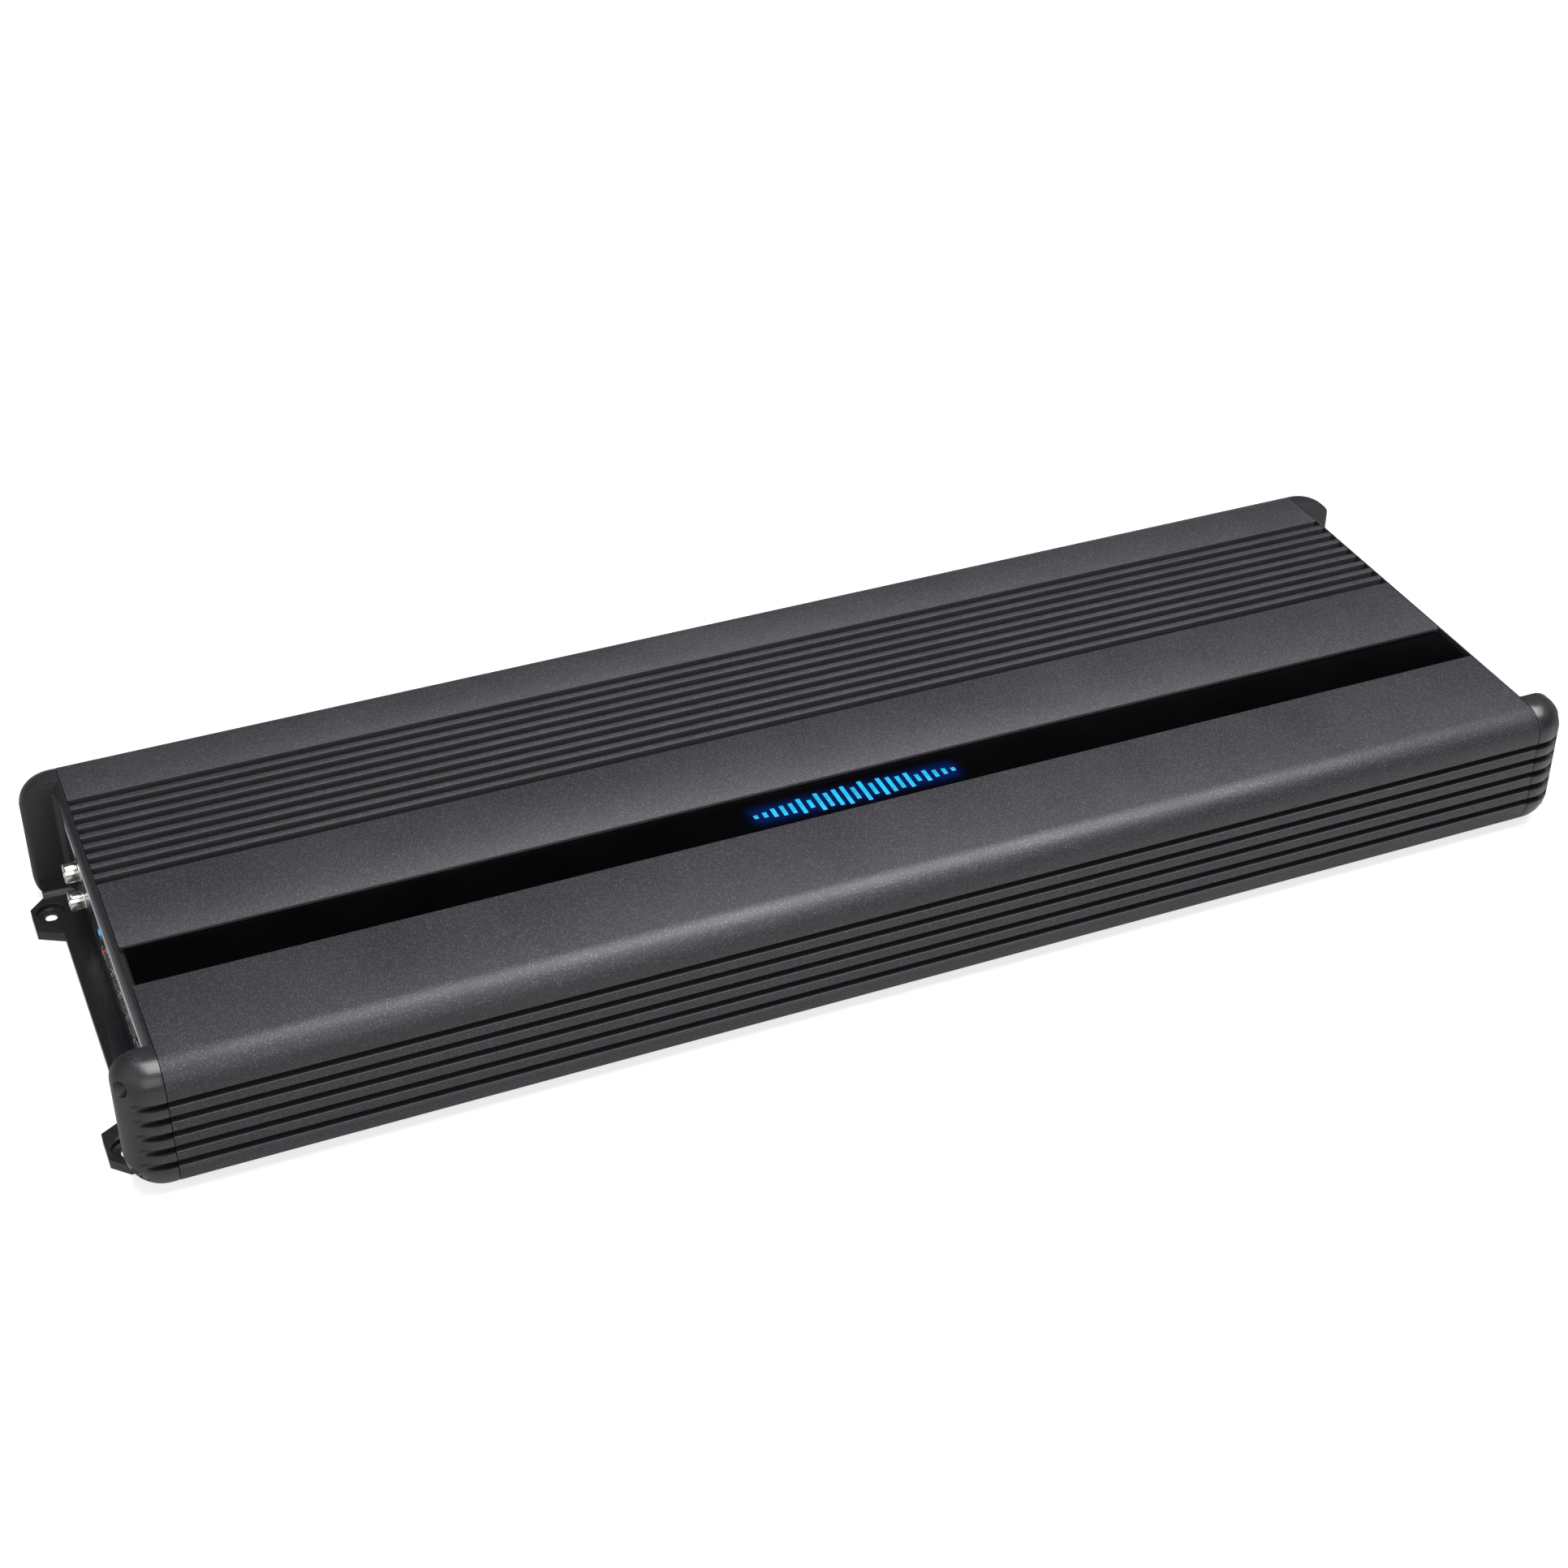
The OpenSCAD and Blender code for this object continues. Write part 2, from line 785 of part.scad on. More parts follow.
module thermal_pad() {
    difference() {
        translate([-row_l / 2, wall_y - pad_t, transistor_z - pad_margin])
            cube([row_l, pad_t, transistor[2] + 2 * pad_margin]);
        clamp_screw_places() translate([0, wall_y - pad_t - overcut, 0]) rotate([-90, 0, 0])
            cylinder(d = small_screw_d + pad_hole_gap, h = pad_t + 2 * overcut);
    }
}

module clamp_bar() {
    difference() {
        translate([-row_l / 2, clamp_y - clamp_t, clamp_z - clamp_h / 2]) cube([row_l, clamp_t, clamp_h]);
        clamp_screw_places() translate([0, clamp_y - clamp_t - overcut, 0]) rotate([-90, 0, 0])
            cylinder(d = small_screw_d + screw_hole_gap, h = clamp_t + 2 * overcut);
    }
}

module front_transistors() {
    color([0.08, 0.08, 0.08]) mirror([0, 1, 0]) transistor_row();
}

module rear_transistors() {
    color([0.08, 0.08, 0.08]) transistor_row();
}

module front_thermal_pad() {
    color([0.75, 0.72, 0.68]) mirror([0, 1, 0]) thermal_pad();
}

module rear_thermal_pad() {
    color([0.75, 0.72, 0.68]) thermal_pad();
}

module front_clamp_bar() {
    color([0.7, 0.71, 0.73]) mirror([0, 1, 0]) clamp_bar();
}

module rear_clamp_bar() {
    color([0.7, 0.71, 0.73]) clamp_bar();
}

module clamp_screws() {
    head_y = clamp_y - clamp_t;
    color([0.2, 0.2, 0.2]) front_and_rear() clamp_screw_places() {
        translate([0, head_y - small_head_h, 0]) rotate([-90, 0, 0])
            cylinder(d = small_head_d, h = small_head_h);
        translate([0, head_y, 0]) rotate([-90, 0, 0])
            cylinder(d = small_screw_d, h = wall_y + clamp_screw_reach - head_y);
    }
}

// ---------- wound parts, capacitors and chips ----------

module ring_core(d, hole_d, h) {
    translate([0, 0, winding_t]) rotate_extrude() translate([hole_d / 2 + winding_t, 0])
        square([(d - hole_d) / 2 - 2 * winding_t, h - 2 * winding_t]);
}

module ring_winding(d, hole_d, h) {
    arc = 104;
    for (k = [0 : 2]) {
        rotate([0, 0, k * 120]) rotate_extrude(angle = arc) difference() {
            translate([hole_d / 2, 0]) square([(d - hole_d) / 2, h]);
            translate([hole_d / 2 + winding_t, winding_t])
                square([(d - hole_d) / 2 - 2 * winding_t, h - 2 * winding_t]);
        }
    }
}

module transformer_places() {
    for (k = [-1, 0, 1]) {
        translate([transformer_x, k * transformer_pitch, board_top_z]) children();
    }
}

module inductor_places() {
    for (s = [-1, 1]) {
        translate([inductor_x, s * inductor_y, board_top_z]) children();
    }
}

module transformer_cores() {
    color([0.2, 0.3, 0.28]) transformer_places() ring_core(transformer_d, transformer_hole_d, transformer_h);
}

module transformer_windings() {
    color([0.72, 0.35, 0.12]) transformer_places() ring_winding(transformer_d, transformer_hole_d, transformer_h);
}

module inductor_cores() {
    color([0.6, 0.55, 0.15]) inductor_places() ring_core(inductor_d, inductor_hole_d, inductor_h);
}

module inductor_windings() {
    color([0.72, 0.35, 0.12]) inductor_places() ring_winding(inductor_d, inductor_hole_d, inductor_h);
}

// A can with the rolled groove above its base
module capacitor(d, h) {
    r = d / 2;
    groove = 0.6;
    bead_z = 2.2;
    rotate_extrude() polygon([[0, 0], [r, 0], [r, bead_z], [r - groove, bead_z + groove],
        [r - groove, bead_z + 2 * groove], [r, bead_z + 3 * groove], [r, h - groove], [r - groove, h],
        [0, h]]);
}

module supply_capacitors() {
    pitch = supply_cap_d + cap_gap;
    color([0.1, 0.12, 0.2]) for (i = [-0.5, 0.5], k = [-2 : 2]) {
        translate([supply_x + i * pitch, k * pitch, board_top_z]) capacitor(supply_cap_d, cap_h);
    }
}

module rail_capacitors() {
    pitch = rail_cap_d + cap_gap;
    color([0.12, 0.1, 0.1]) for (i = [-0.5, 0.5], k = [-1.5 : 1.5]) {
        translate([rail_cap_x + i * pitch, k * (pitch + rail_row_gap), board_top_z])
            capacitor(rail_cap_d, cap_h);
    }
}

module driver_chips() {
    chip = [20, 7, 4];
    pitch = 30;
    color([0.07, 0.07, 0.07]) for (i = [-0.5, 0.5], k = [-1.5 : 1.5]) {
        translate([chip_x + i * pitch - chip[0] / 2, k * pitch - chip[1] / 2, board_top_z]) cube(chip);
    }
}

// ---------- controls and jacks, drawn outward from the housing's end ----------

module control_board() {
    color([0.05, 0.25, 0.12]) at_left() translate([control_board_u, control_board_y[0], board_top_z])
        cube([pot_front_u - pot[0] - control_board_u, control_board_y[1] - control_board_y[0], control_board_h]);
}

module pot_bodies() {
    color([0.3, 0.31, 0.33]) at_left() for (y = pot_y) {
        difference() {
            translate([pot_front_u - pot[0], y - pot[1] / 2, control_z - pot[2] / 2]) cube(pot);
            rod_x(pot_front_u - pot_hole_depth, pot_front_u + overcut, y, control_z,
                pot_shaft_d + 2 * slip);
        }
    }
}

module knob(y) {
    slot = [1.2, 0.9];
    edge = 0.4;
    dot_d = 0.8;
    dot_depth = 0.5;
    dot_y = knob_d / 4 + 0.3;
    color([0.13, 0.13, 0.14]) at_left() difference() {
        union() {
            rod_x(pot_front_u - shaft_depth, knob_back_u, y, control_z, pot_shaft_d);
            rod_x(knob_back_u, knob_tip_u - edge, y, control_z, knob_d);
            translate([knob_tip_u - edge, y, control_z]) rotate([0, 90, 0])
                cylinder(d1 = knob_d, d2 = knob_d - 2 * edge, h = edge);
        }
        translate([knob_tip_u - slot[0], y - slot[1] / 2, control_z - knob_d])
            cube([slot[0] + overcut, slot[1], 2 * knob_d]);
        rod_x(knob_tip_u - dot_depth, knob_tip_u + overcut, y + dot_y, control_z, dot_d);
    }
}

module gain_knob() {
    knob(pot_y[0]);
}

module low_pass_knob() {
    knob(pot_y[1]);
}

module subsonic_knob() {
    knob(pot_y[2]);
}

module bass_boost_knob() {
    knob(pot_y[3]);
}

module switch_bodies() {
    slot_w_y = slider[1] + switch_travel + 2 * slider_gap;
    slot_h = slider[2] + 2 * slider_gap;
    slot_deep = 6;
    color([0.16, 0.16, 0.17]) at_left() for (z = switch_z) {
        difference() {
            translate([switch_front_u - switch_body[0], switch_y - switch_body[1] / 2,
                z - switch_body[2] / 2])
                cube(switch_body);
            translate([switch_front_u - slot_deep, switch_y - slot_w_y / 2, z - slot_h / 2])
                cube([slot_deep + overcut, slot_w_y, slot_h]);
        }
    }
}

module switch_slider(z) {
    grip = 0.5;
    grip_pitch = 1.2;
    depth = 5.6;
    y = switch_y - switch_travel / 2;
    color([0.8, 0.8, 0.78]) at_left() difference() {
        translate([switch_front_u - depth, y - slider[1] / 2, z - slider[2] / 2])
            cube([slider_tip_u - switch_front_u + depth, slider[1], slider[2]]);
        for (k = [-1, 0, 1]) {
            translate([slider_tip_u - grip, y + k * grip_pitch - grip / 2, z - slider[2]])
                cube([grip + overcut, grip, 2 * slider[2]]);
        }
    }
}

module phase_slider() {
    switch_slider(switch_z[0]);
}

module mode_slider() {
    switch_slider(switch_z[1]);
}

module status_led(z) {
    at_left() {
        rod_x(pot_front_u - pot[0], panel_t + led_proud, led_y, z, led_d);
    }
}

module power_led() {
    color([0.1, 0.7, 0.9]) status_led(led_z[0]);
}

module protect_led() {
    color([0.85, 0.1, 0.08]) status_led(led_z[1]);
}

module remote_jack() {
    face_u = panel_t - remote_drop;
    color([0.1, 0.1, 0.11]) at_left() difference() {
        translate([face_u - remote_size[0], remote_jack_y - remote_size[1] / 2, board_top_z])
            cube(remote_size);
        translate([face_u - remote_opening[0], remote_jack_y - remote_opening[1] / 2,
            board_top_z + (remote_size[2] - remote_opening[2]) / 2])
            cube([remote_opening[0] + overcut, remote_opening[1], remote_opening[2]]);
    }
}

module jack_block() {
    color([0.06, 0.06, 0.065]) at_left() difference() {
        translate([-jack_body[0], jack_y - jack_body[1] / 2, board_top_z]) cube(jack_body);
        for (z = jack_z) {
            rod_x(barrel_root_u, overcut, jack_y, z, barrel_d - 2 * barrel_step);
        }
    }
}

module jack_barrels() {
    color([0.82, 0.8, 0.75]) at_left() for (z = jack_z) {
        difference() {
            union() {
                rod_x(barrel_root_u, overcut, jack_y, z, barrel_d - 2 * barrel_step);
                rod_x(0, collar_u, jack_y, z, collar_d);
                rod_x(overcut, barrel_tip_u, jack_y, z, barrel_d);
            }
            rod_x(barrel_root_u - overcut, barrel_tip_u + overcut, jack_y, z, barrel_bore_d);
        }
    }
}

module jack_insulator(z) {
    at_left() difference() {
        rod_x(barrel_root_u, barrel_tip_u - insulator_drop, jack_y, z, barrel_bore_d);
        rod_x(barrel_root_u - overcut, barrel_tip_u, jack_y, z, contact_d);
    }
}

module left_jack_insulator() {
    color([0.9, 0.9, 0.88]) jack_insulator(jack_z[1]);
}

module right_jack_insulator() {
    color([0.75, 0.08, 0.06]) jack_insulator(jack_z[0]);
}

module jack_contacts() {
    color([0.82, 0.8, 0.75]) at_left() for (z = jack_z) {
        difference() {
            rod_x(barrel_root_u, barrel_tip_u - contact_drop, jack_y, z, contact_d);
            rod_x(barrel_root_u + contact_floor, barrel_tip_u, jack_y, z, contact_bore_d);
        }
    }
}

// ---------- wire terminals, drawn outward from the housing's end ----------

// The flat tail that joins a post to the main board
module post_tail(y) {
    translate([post_u[0] - tail[0], y - tail[1] / 2, board_top_z])
        cube([tail[0] + overcut, tail[1], tail[2]]);
}

// size is a post's width and height
module post(y, size, bore_d, screw_d) {
    bore_z = post_z + bore_rise;
    post_tail(y);
    difference() {
        translate([post_u[0], y - size[0] / 2, post_z]) cube([post_u[1] - post_u[0], size[0], size[1]]);
        rod_x(post_u[1] - bore_depth, post_u[1] + overcut, y, bore_z, bore_d);
        translate([screw_u, y, bore_z]) cylinder(d = screw_d + 2 * slip, h = size[1]);
    }
}

// Room for a post in a terminal block, with its wire entry and the hole above its set screw
module post_room(y, size, bore_d, screw_d) {
    translate([post_u[0], y - size[0] / 2, post_z]) cube([post_u[1] - post_u[0], size[0], size[1]]);
    rod_x(post_u[1] - overcut, terminal_u[1] + overcut, y, post_z + bore_rise, bore_d + entry_gap);
    translate([screw_u, y, post_z + size[1] - overcut])
        cylinder(d = screw_d + 2 * entry_gap, h = power_block_h);
    post_tail(y);
}

module terminal_body(y_range, h) {
    translate([terminal_u[0], y_range[0], terminal_z])
        cube([terminal_u[1] - terminal_u[0], y_range[1] - y_range[0], h]);
}

module power_terminal_block() {
    color([0.07, 0.07, 0.075]) at_right() difference() {
        terminal_body(power_block_y, power_block_h);
        for (y = power_y) {
            post_room(y, power_post, power_bore_d, power_screw_d);
        }
        post_room(trigger_y, trigger_post, trigger_bore_d, trigger_screw_d);
    }
}

module power_terminal_posts() {
    color([0.8, 0.78, 0.7]) at_right() {
        for (y = power_y) {
            post(y, power_post, power_bore_d, power_screw_d);
        }
        post(trigger_y, trigger_post, trigger_bore_d, trigger_screw_d);
    }
}

module speaker_terminal_block() {
    color([0.07, 0.07, 0.075]) at_right() difference() {
        terminal_body(speaker_block_y, speaker_block_h);
        for (y = speaker_y) {
            post_room(y, speaker_post, speaker_bore_d, speaker_screw_d);
        }
    }
}

module speaker_terminal_posts() {
    color([0.8, 0.78, 0.7]) at_right() for (y = speaker_y) {
        post(y, speaker_post, speaker_bore_d, speaker_screw_d);
    }
}

// A set screw at rest, raised just clear of the wire bore
module set_screw(y, size, bore_d, d) {
    bottom = post_z + bore_rise + bore_d / 2 + screw_gap;
    top = post_z + size[1] - screw_top_gap;
    socket_h = min(2.4, (top - bottom) / 2);
    color([0.72, 0.73, 0.75]) at_right() translate([screw_u, y, bottom]) difference() {
        cylinder(d = d, h = top - bottom);
        translate([0, 0, top - bottom - socket_h]) cylinder(d = d / 2, h = socket_h + overcut, $fn = 6);
    }
}

module positive_set_screw() {
    set_screw(power_y[0], power_post, power_bore_d, power_screw_d);
}

module ground_set_screw() {
    set_screw(power_y[1], power_post, power_bore_d, power_screw_d);
}

module trigger_set_screw() {
    set_screw(trigger_y, trigger_post, trigger_bore_d, trigger_screw_d);
}

module speaker_plus_set_screw() {
    set_screw(speaker_y[0], speaker_post, speaker_bore_d, speaker_screw_d);
}

module speaker_minus_set_screw() {
    set_screw(speaker_y[1], speaker_post, speaker_bore_d, speaker_screw_d);
}

housing();
bottom_cover();
bottom_cover_screws();
left_end_cap();
right_end_cap();
left_cap_screws();
right_cap_screws();
input_panel();
terminal_panel();
window_strip();
strip_light();
light_board();
light_leds();
light_lead();
light_plug();
main_board();
board_standoffs();
board_screws();
front_transistors();
rear_transistors();
front_thermal_pad();
rear_thermal_pad();
front_clamp_bar();
rear_clamp_bar();
clamp_screws();
transformer_cores();
transformer_windings();
inductor_cores();
inductor_windings();
supply_capacitors();
rail_capacitors();
driver_chips();
control_board();
jack_block();
jack_barrels();
left_jack_insulator();
right_jack_insulator();
jack_contacts();
pot_bodies();
gain_knob();
low_pass_knob();
subsonic_knob();
bass_boost_knob();
switch_bodies();
phase_slider();
mode_slider();
remote_jack();
power_led();
protect_led();
power_terminal_block();
power_terminal_posts();
speaker_terminal_block();
speaker_terminal_posts();
positive_set_screw();
ground_set_screw();
trigger_set_screw();
speaker_plus_set_screw();
speaker_minus_set_screw();
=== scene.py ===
"""Looks for a long car amplifier: coated housing, cast end caps, lit strip, jacks and wire terminals."""
import json
import math

import bpy
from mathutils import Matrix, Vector


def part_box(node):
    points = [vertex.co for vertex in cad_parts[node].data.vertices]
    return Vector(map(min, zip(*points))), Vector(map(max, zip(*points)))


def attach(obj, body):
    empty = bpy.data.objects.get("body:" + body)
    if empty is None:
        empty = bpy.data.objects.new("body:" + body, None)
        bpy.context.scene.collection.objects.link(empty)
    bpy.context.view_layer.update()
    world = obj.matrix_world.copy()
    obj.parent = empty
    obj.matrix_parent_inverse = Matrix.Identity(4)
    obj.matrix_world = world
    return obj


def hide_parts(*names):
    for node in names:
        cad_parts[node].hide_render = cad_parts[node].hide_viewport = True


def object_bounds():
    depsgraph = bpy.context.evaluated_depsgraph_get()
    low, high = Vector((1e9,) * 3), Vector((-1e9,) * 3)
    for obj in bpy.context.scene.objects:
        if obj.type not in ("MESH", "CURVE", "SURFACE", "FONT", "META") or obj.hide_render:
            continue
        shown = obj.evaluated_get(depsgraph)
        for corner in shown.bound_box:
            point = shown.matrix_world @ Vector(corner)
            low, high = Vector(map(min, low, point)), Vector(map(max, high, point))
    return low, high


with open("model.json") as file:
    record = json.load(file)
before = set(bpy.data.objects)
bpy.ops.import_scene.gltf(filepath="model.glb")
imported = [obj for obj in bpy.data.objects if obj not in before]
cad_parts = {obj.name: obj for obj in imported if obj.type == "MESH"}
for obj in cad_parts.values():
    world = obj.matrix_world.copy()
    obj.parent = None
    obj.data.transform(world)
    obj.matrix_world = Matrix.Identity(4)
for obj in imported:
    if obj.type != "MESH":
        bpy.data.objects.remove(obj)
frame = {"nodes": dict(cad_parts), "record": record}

cad_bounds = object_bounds()
MM = 0.001
ROOT = "chassis"
EDGE_R = 10.5 * MM

# ---------------------------------------------------------------- camera, floor and lights

CAMERA_PLACE = (-0.3663, -0.8525, 0.6918)
CAMERA_YAW = math.radians(22.71)
CAMERA_PITCH = math.radians(35.3)
CAMERA_LENS = 63.05
SENSOR = 36.0

# How strongly the world and the floor light the object, and how pale they look to the camera
WORLD_LIGHT, WORLD_SEEN = 0.10, 0.88
FLOOR_LIGHT, FLOOR_SEEN = 0.15, 0.72
FLOOR_SIZE = 14
FLOOR_GAP = 0.2 * MM


def make_camera():
    data = bpy.data.cameras.new("camera")
    data.lens = CAMERA_LENS
    data.sensor_width = SENSOR
    data.clip_start = 0.01
    camera = bpy.data.objects.new("camera", data)
    camera.location = CAMERA_PLACE
    camera.rotation_euler = (math.pi / 2 - CAMERA_PITCH, 0, -CAMERA_YAW)
    bpy.context.scene.collection.objects.link(camera)
    bpy.context.scene.camera = camera


def softbox(name, place, target, size, power, tint=(1, 1, 1)):
    data = bpy.data.lights.new(name, "AREA")
    data.shape = "RECTANGLE"
    data.size, data.size_y = size
    data.energy = power
    data.color = tint
    light = bpy.data.objects.new(name, data)
    light.location = place
    aim = Vector(target) - Vector(place)
    light.rotation_euler = aim.to_track_quat("-Z", "Y").to_euler()
    bpy.context.scene.collection.objects.link(light)


def make_studio():
    world = bpy.data.worlds.new("studio")
    world.use_nodes = True
    background = world.node_tree.nodes["Background"]
    background.inputs["Color"].default_value = (0.95, 0.94, 1.0, 1)
    graph = Graph(world.node_tree)
    seen = graph.add("ShaderNodeLightPath").outputs["Is Camera Ray"]
    graph.feed(background.inputs["Strength"], graph.spread(seen, 0.0, 1.0, WORLD_LIGHT, WORLD_SEEN))
    bpy.context.scene.world = world
    bpy.context.scene.view_settings.view_transform = "Standard"
    softbox("overhead", (0.30, -0.09, 1.1), (0.30, -0.08999, 0), (1.6, 0.95), 46)
    softbox("front_fill", (-0.5, -1.9, 1.1), (-0.1, 0, 0), (2.6, 1.4), 29)
    softbox("left_fill", (-1.9, -0.3, 0.8), (-0.2, 0, 0), (1.2, 1.2), 9)


def make_floor():
    bpy.ops.mesh.primitive_plane_add(size=FLOOR_SIZE, location=(0, 0, cad_bounds[0][2] - FLOOR_GAP))
    floor = bpy.context.object
    floor.name = "floor"
    material, shader, graph = start_material("floor_paper")
    seen = graph.add("ShaderNodeLightPath").outputs["Is Camera Ray"]
    shader.inputs["Base Color"].default_value = (0.34, 0.34, 0.34, 1)
    shader.inputs["Roughness"].default_value = 0.9
    shader.inputs["Specular IOR Level"].default_value = 0.1
    shader.inputs["Emission Color"].default_value = (1, 1, 1, 1)
    graph.feed(shader.inputs["Emission Strength"], graph.spread(seen, 0.0, 1.0, FLOOR_LIGHT, FLOOR_SEEN))
    floor.data.materials.append(material)


# ---------------------------------------------------------------- shader groups


class Graph:
    """Short calls for adding and joining nodes in one tree."""

    def __init__(self, tree):
        self.tree = tree

    def add(self, kind, settings=None, **values):
        node = self.tree.nodes.new(kind)
        for key, value in (settings or {}).items():
            setattr(node, key, value)
        for key, value in values.items():
            self.feed(node.inputs[key.replace("_", " ")], value)
        return node

    def feed(self, socket, value):
        if isinstance(value, bpy.types.NodeSocket):
            self.tree.links.new(value, socket)
        else:
            socket.default_value = value

    def math(self, operation, a, b=0.0):
        node = self.tree.nodes.new("ShaderNodeMath")
        node.operation = operation
        self.feed(node.inputs[0], a)
        self.feed(node.inputs[1], b)
        return node.outputs[0]

    def spread(self, value, low, high, to_low=0.0, to_high=1.0):
        node = self.tree.nodes.new("ShaderNodeMapRange")
        for index, item in enumerate((value, low, high, to_low, to_high)):
            self.feed(node.inputs[index], item)
        return node.outputs[0]

    def blend(self, share, a, b, mode="MIX"):
        node = self.tree.nodes.new("ShaderNodeMix")
        node.data_type = "RGBA"
        node.blend_type = mode
        for index, item in ((0, share), (6, a), (7, b)):
            self.feed(node.inputs[index], item)
        return node.outputs[2]


def new_group(name, inputs, outputs):
    """A node group with named float inputs and named outputs; returns its graph and both ends."""
    tree = bpy.data.node_groups.new(name, "ShaderNodeTree")
    for label, value in inputs.items():
        socket = tree.interface.new_socket(label, in_out="INPUT", socket_type="NodeSocketFloat")
        socket.default_value = value
    for label, kind in outputs.items():
        tree.interface.new_socket(label, in_out="OUTPUT", socket_type=kind)
    graph = Graph(tree)
    start = tree.nodes.new("NodeGroupInput")
    end = tree.nodes.new("NodeGroupOutput")
    coordinates = tree.nodes.new("ShaderNodeTexCoord").outputs["Object"]
    return graph, start, end, coordinates


def build_grain_group():
    """Fine surface grain: a height for bumps and a slow mottle for roughness and colour."""
    graph, start, end, place = new_group(
        "fine_grain", {"Scale": 1800.0, "Mottle Scale": 40.0},
        {"Height": "NodeSocketFloat", "Mottle": "NodeSocketFloat"})
    fine = graph.add("ShaderNodeTexNoise", Vector=place, Scale=start.outputs["Scale"], Detail=2.0)
    slow = graph.add("ShaderNodeTexNoise", Vector=place, Scale=start.outputs["Mottle Scale"], Detail=4.0)
    graph.feed(end.inputs["Height"], fine.outputs[0])
    graph.feed(end.inputs["Mottle"], slow.outputs[0])


def build_sparkle_group():
    """Scattered flakes in a powder coat."""
    graph, start, end, place = new_group(
        "coat_sparkle", {"Scale": 2600.0, "Amount": 0.06},
        {"Mask": "NodeSocketFloat", "Shade": "NodeSocketFloat"})
    cells = graph.add("ShaderNodeTexVoronoi", Vector=place, Scale=start.outputs["Scale"])
    split = graph.add("ShaderNodeSeparateColor", Color=cells.outputs["Color"])
    edge = graph.math("SUBTRACT", 1.0, start.outputs["Amount"])
    bright = graph.math("GREATER_THAN", split.outputs[0], edge)
    centre = graph.spread(cells.outputs["Distance"], 0.25, 0.5, 1.0, 0.0)
    graph.feed(end.inputs["Mask"], graph.math("MULTIPLY", bright, centre))
    graph.feed(end.inputs["Shade"], split.outputs[1])


def build_dust_group():
    """Light dust that settles on faces that look up."""
    graph, start, end, place = new_group(
        "settled_dust", {"Amount": 0.05}, {"Mask": "NodeSocketFloat"})
    geometry = graph.add("ShaderNodeNewGeometry")
    split = graph.add("ShaderNodeSeparateXYZ", Vector=geometry.outputs["Normal"])
    upward = graph.spread(split.outputs[2], 0.3, 1.0)
    patches = graph.add("ShaderNodeTexNoise", Vector=place, Scale=18.0, Detail=6.0)
    patchy = graph.spread(patches.outputs[0], 0.4, 0.75)
    share = graph.math("MULTIPLY", graph.math("MULTIPLY", upward, patchy), start.outputs["Amount"])
    graph.feed(end.inputs["Mask"], share)


def build_scratch_group():
    """Fine directional brushing for bare metal."""
    graph, start, end, place = new_group(
        "brushed_lines", {"Along X": 40.0, "Across": 2400.0}, {"Height": "NodeSocketFloat"})
    stretch = graph.add("ShaderNodeCombineXYZ", X=start.outputs["Along X"], Y=start.outputs["Across"],
                        Z=start.outputs["Across"])
    moved = graph.add("ShaderNodeVectorMath", {"operation": "MULTIPLY"})
    graph.feed(moved.inputs[0], place)
    graph.feed(moved.inputs[1], stretch.outputs[0])
    lines = graph.add("ShaderNodeTexNoise", Vector=moved.outputs[0], Scale=1.0, Detail=3.0)
    graph.feed(end.inputs["Height"], lines.outputs[0])


TUCK_Z = 13 * MM
LIP_BEGINS = (0.03 * MM, 0.12 * MM)
LIP_ENDS = (0.3 * MM, 0.6 * MM)


def build_recess_group():
    """How deep a place lies below the housing's outer skin, and whether it is on a groove's lip.

    The skin is a box with its upper long edges rounded to EDGE_R. Below TUCK_Z both outputs are 0.
    """
    graph, start, end, place = new_group(
        "recess_shade", {"Begins": 0.3 * MM, "Full": 1.8 * MM},
        {"Deep": "NodeSocketFloat", "Lip": "NodeSocketFloat"})
    low, high = cad_bounds
    split = graph.add("ShaderNodeSeparateXYZ", Vector=place)
    across = graph.math("SUBTRACT", graph.math("ABSOLUTE", split.outputs[1]), high[1] - EDGE_R)
    upward = graph.math("SUBTRACT", split.outputs[2], high[2] - EDGE_R)
    beyond = graph.add("ShaderNodeCombineXYZ", X=graph.math("MAXIMUM", across, 0.0),
                       Y=graph.math("MAXIMUM", upward, 0.0))
    reach = graph.add("ShaderNodeVectorMath", {"operation": "LENGTH"}, Vector=beyond.outputs[0])
    inside = graph.math("MINIMUM", graph.math("MAXIMUM", across, upward), 0.0)
    skin = graph.math("ADD", reach.outputs["Value"], inside)
    depth = graph.math("SUBTRACT", EDGE_R, skin)
    above_tuck = graph.spread(split.outputs[2], TUCK_Z - 0.5 * MM, TUCK_Z + 0.5 * MM)
    deep = graph.spread(depth, start.outputs["Begins"], start.outputs["Full"])
    graph.feed(end.inputs["Deep"], graph.math("MULTIPLY", deep, above_tuck))
    lip = graph.math("MULTIPLY", graph.spread(depth, *LIP_BEGINS),
                     graph.spread(depth, *LIP_ENDS, 1.0, 0.0))
    graph.feed(end.inputs["Lip"], graph.math("MULTIPLY", lip, above_tuck))


def build_groups():
    build_recess_group()
    build_grain_group()
    build_sparkle_group()
    build_dust_group()
    build_scratch_group()


def use_group(graph, name, **values):
    node = graph.tree.nodes.new("ShaderNodeGroup")
    node.node_tree = bpy.data.node_groups[name]
    for key, value in values.items():
        graph.feed(node.inputs[key.replace("_", " ")], value)
    return node.outputs


def start_material(name):
    material = bpy.data.materials.new(name)
    material.use_nodes = True
    return material, material.node_tree.nodes["Principled BSDF"], Graph(material.node_tree)


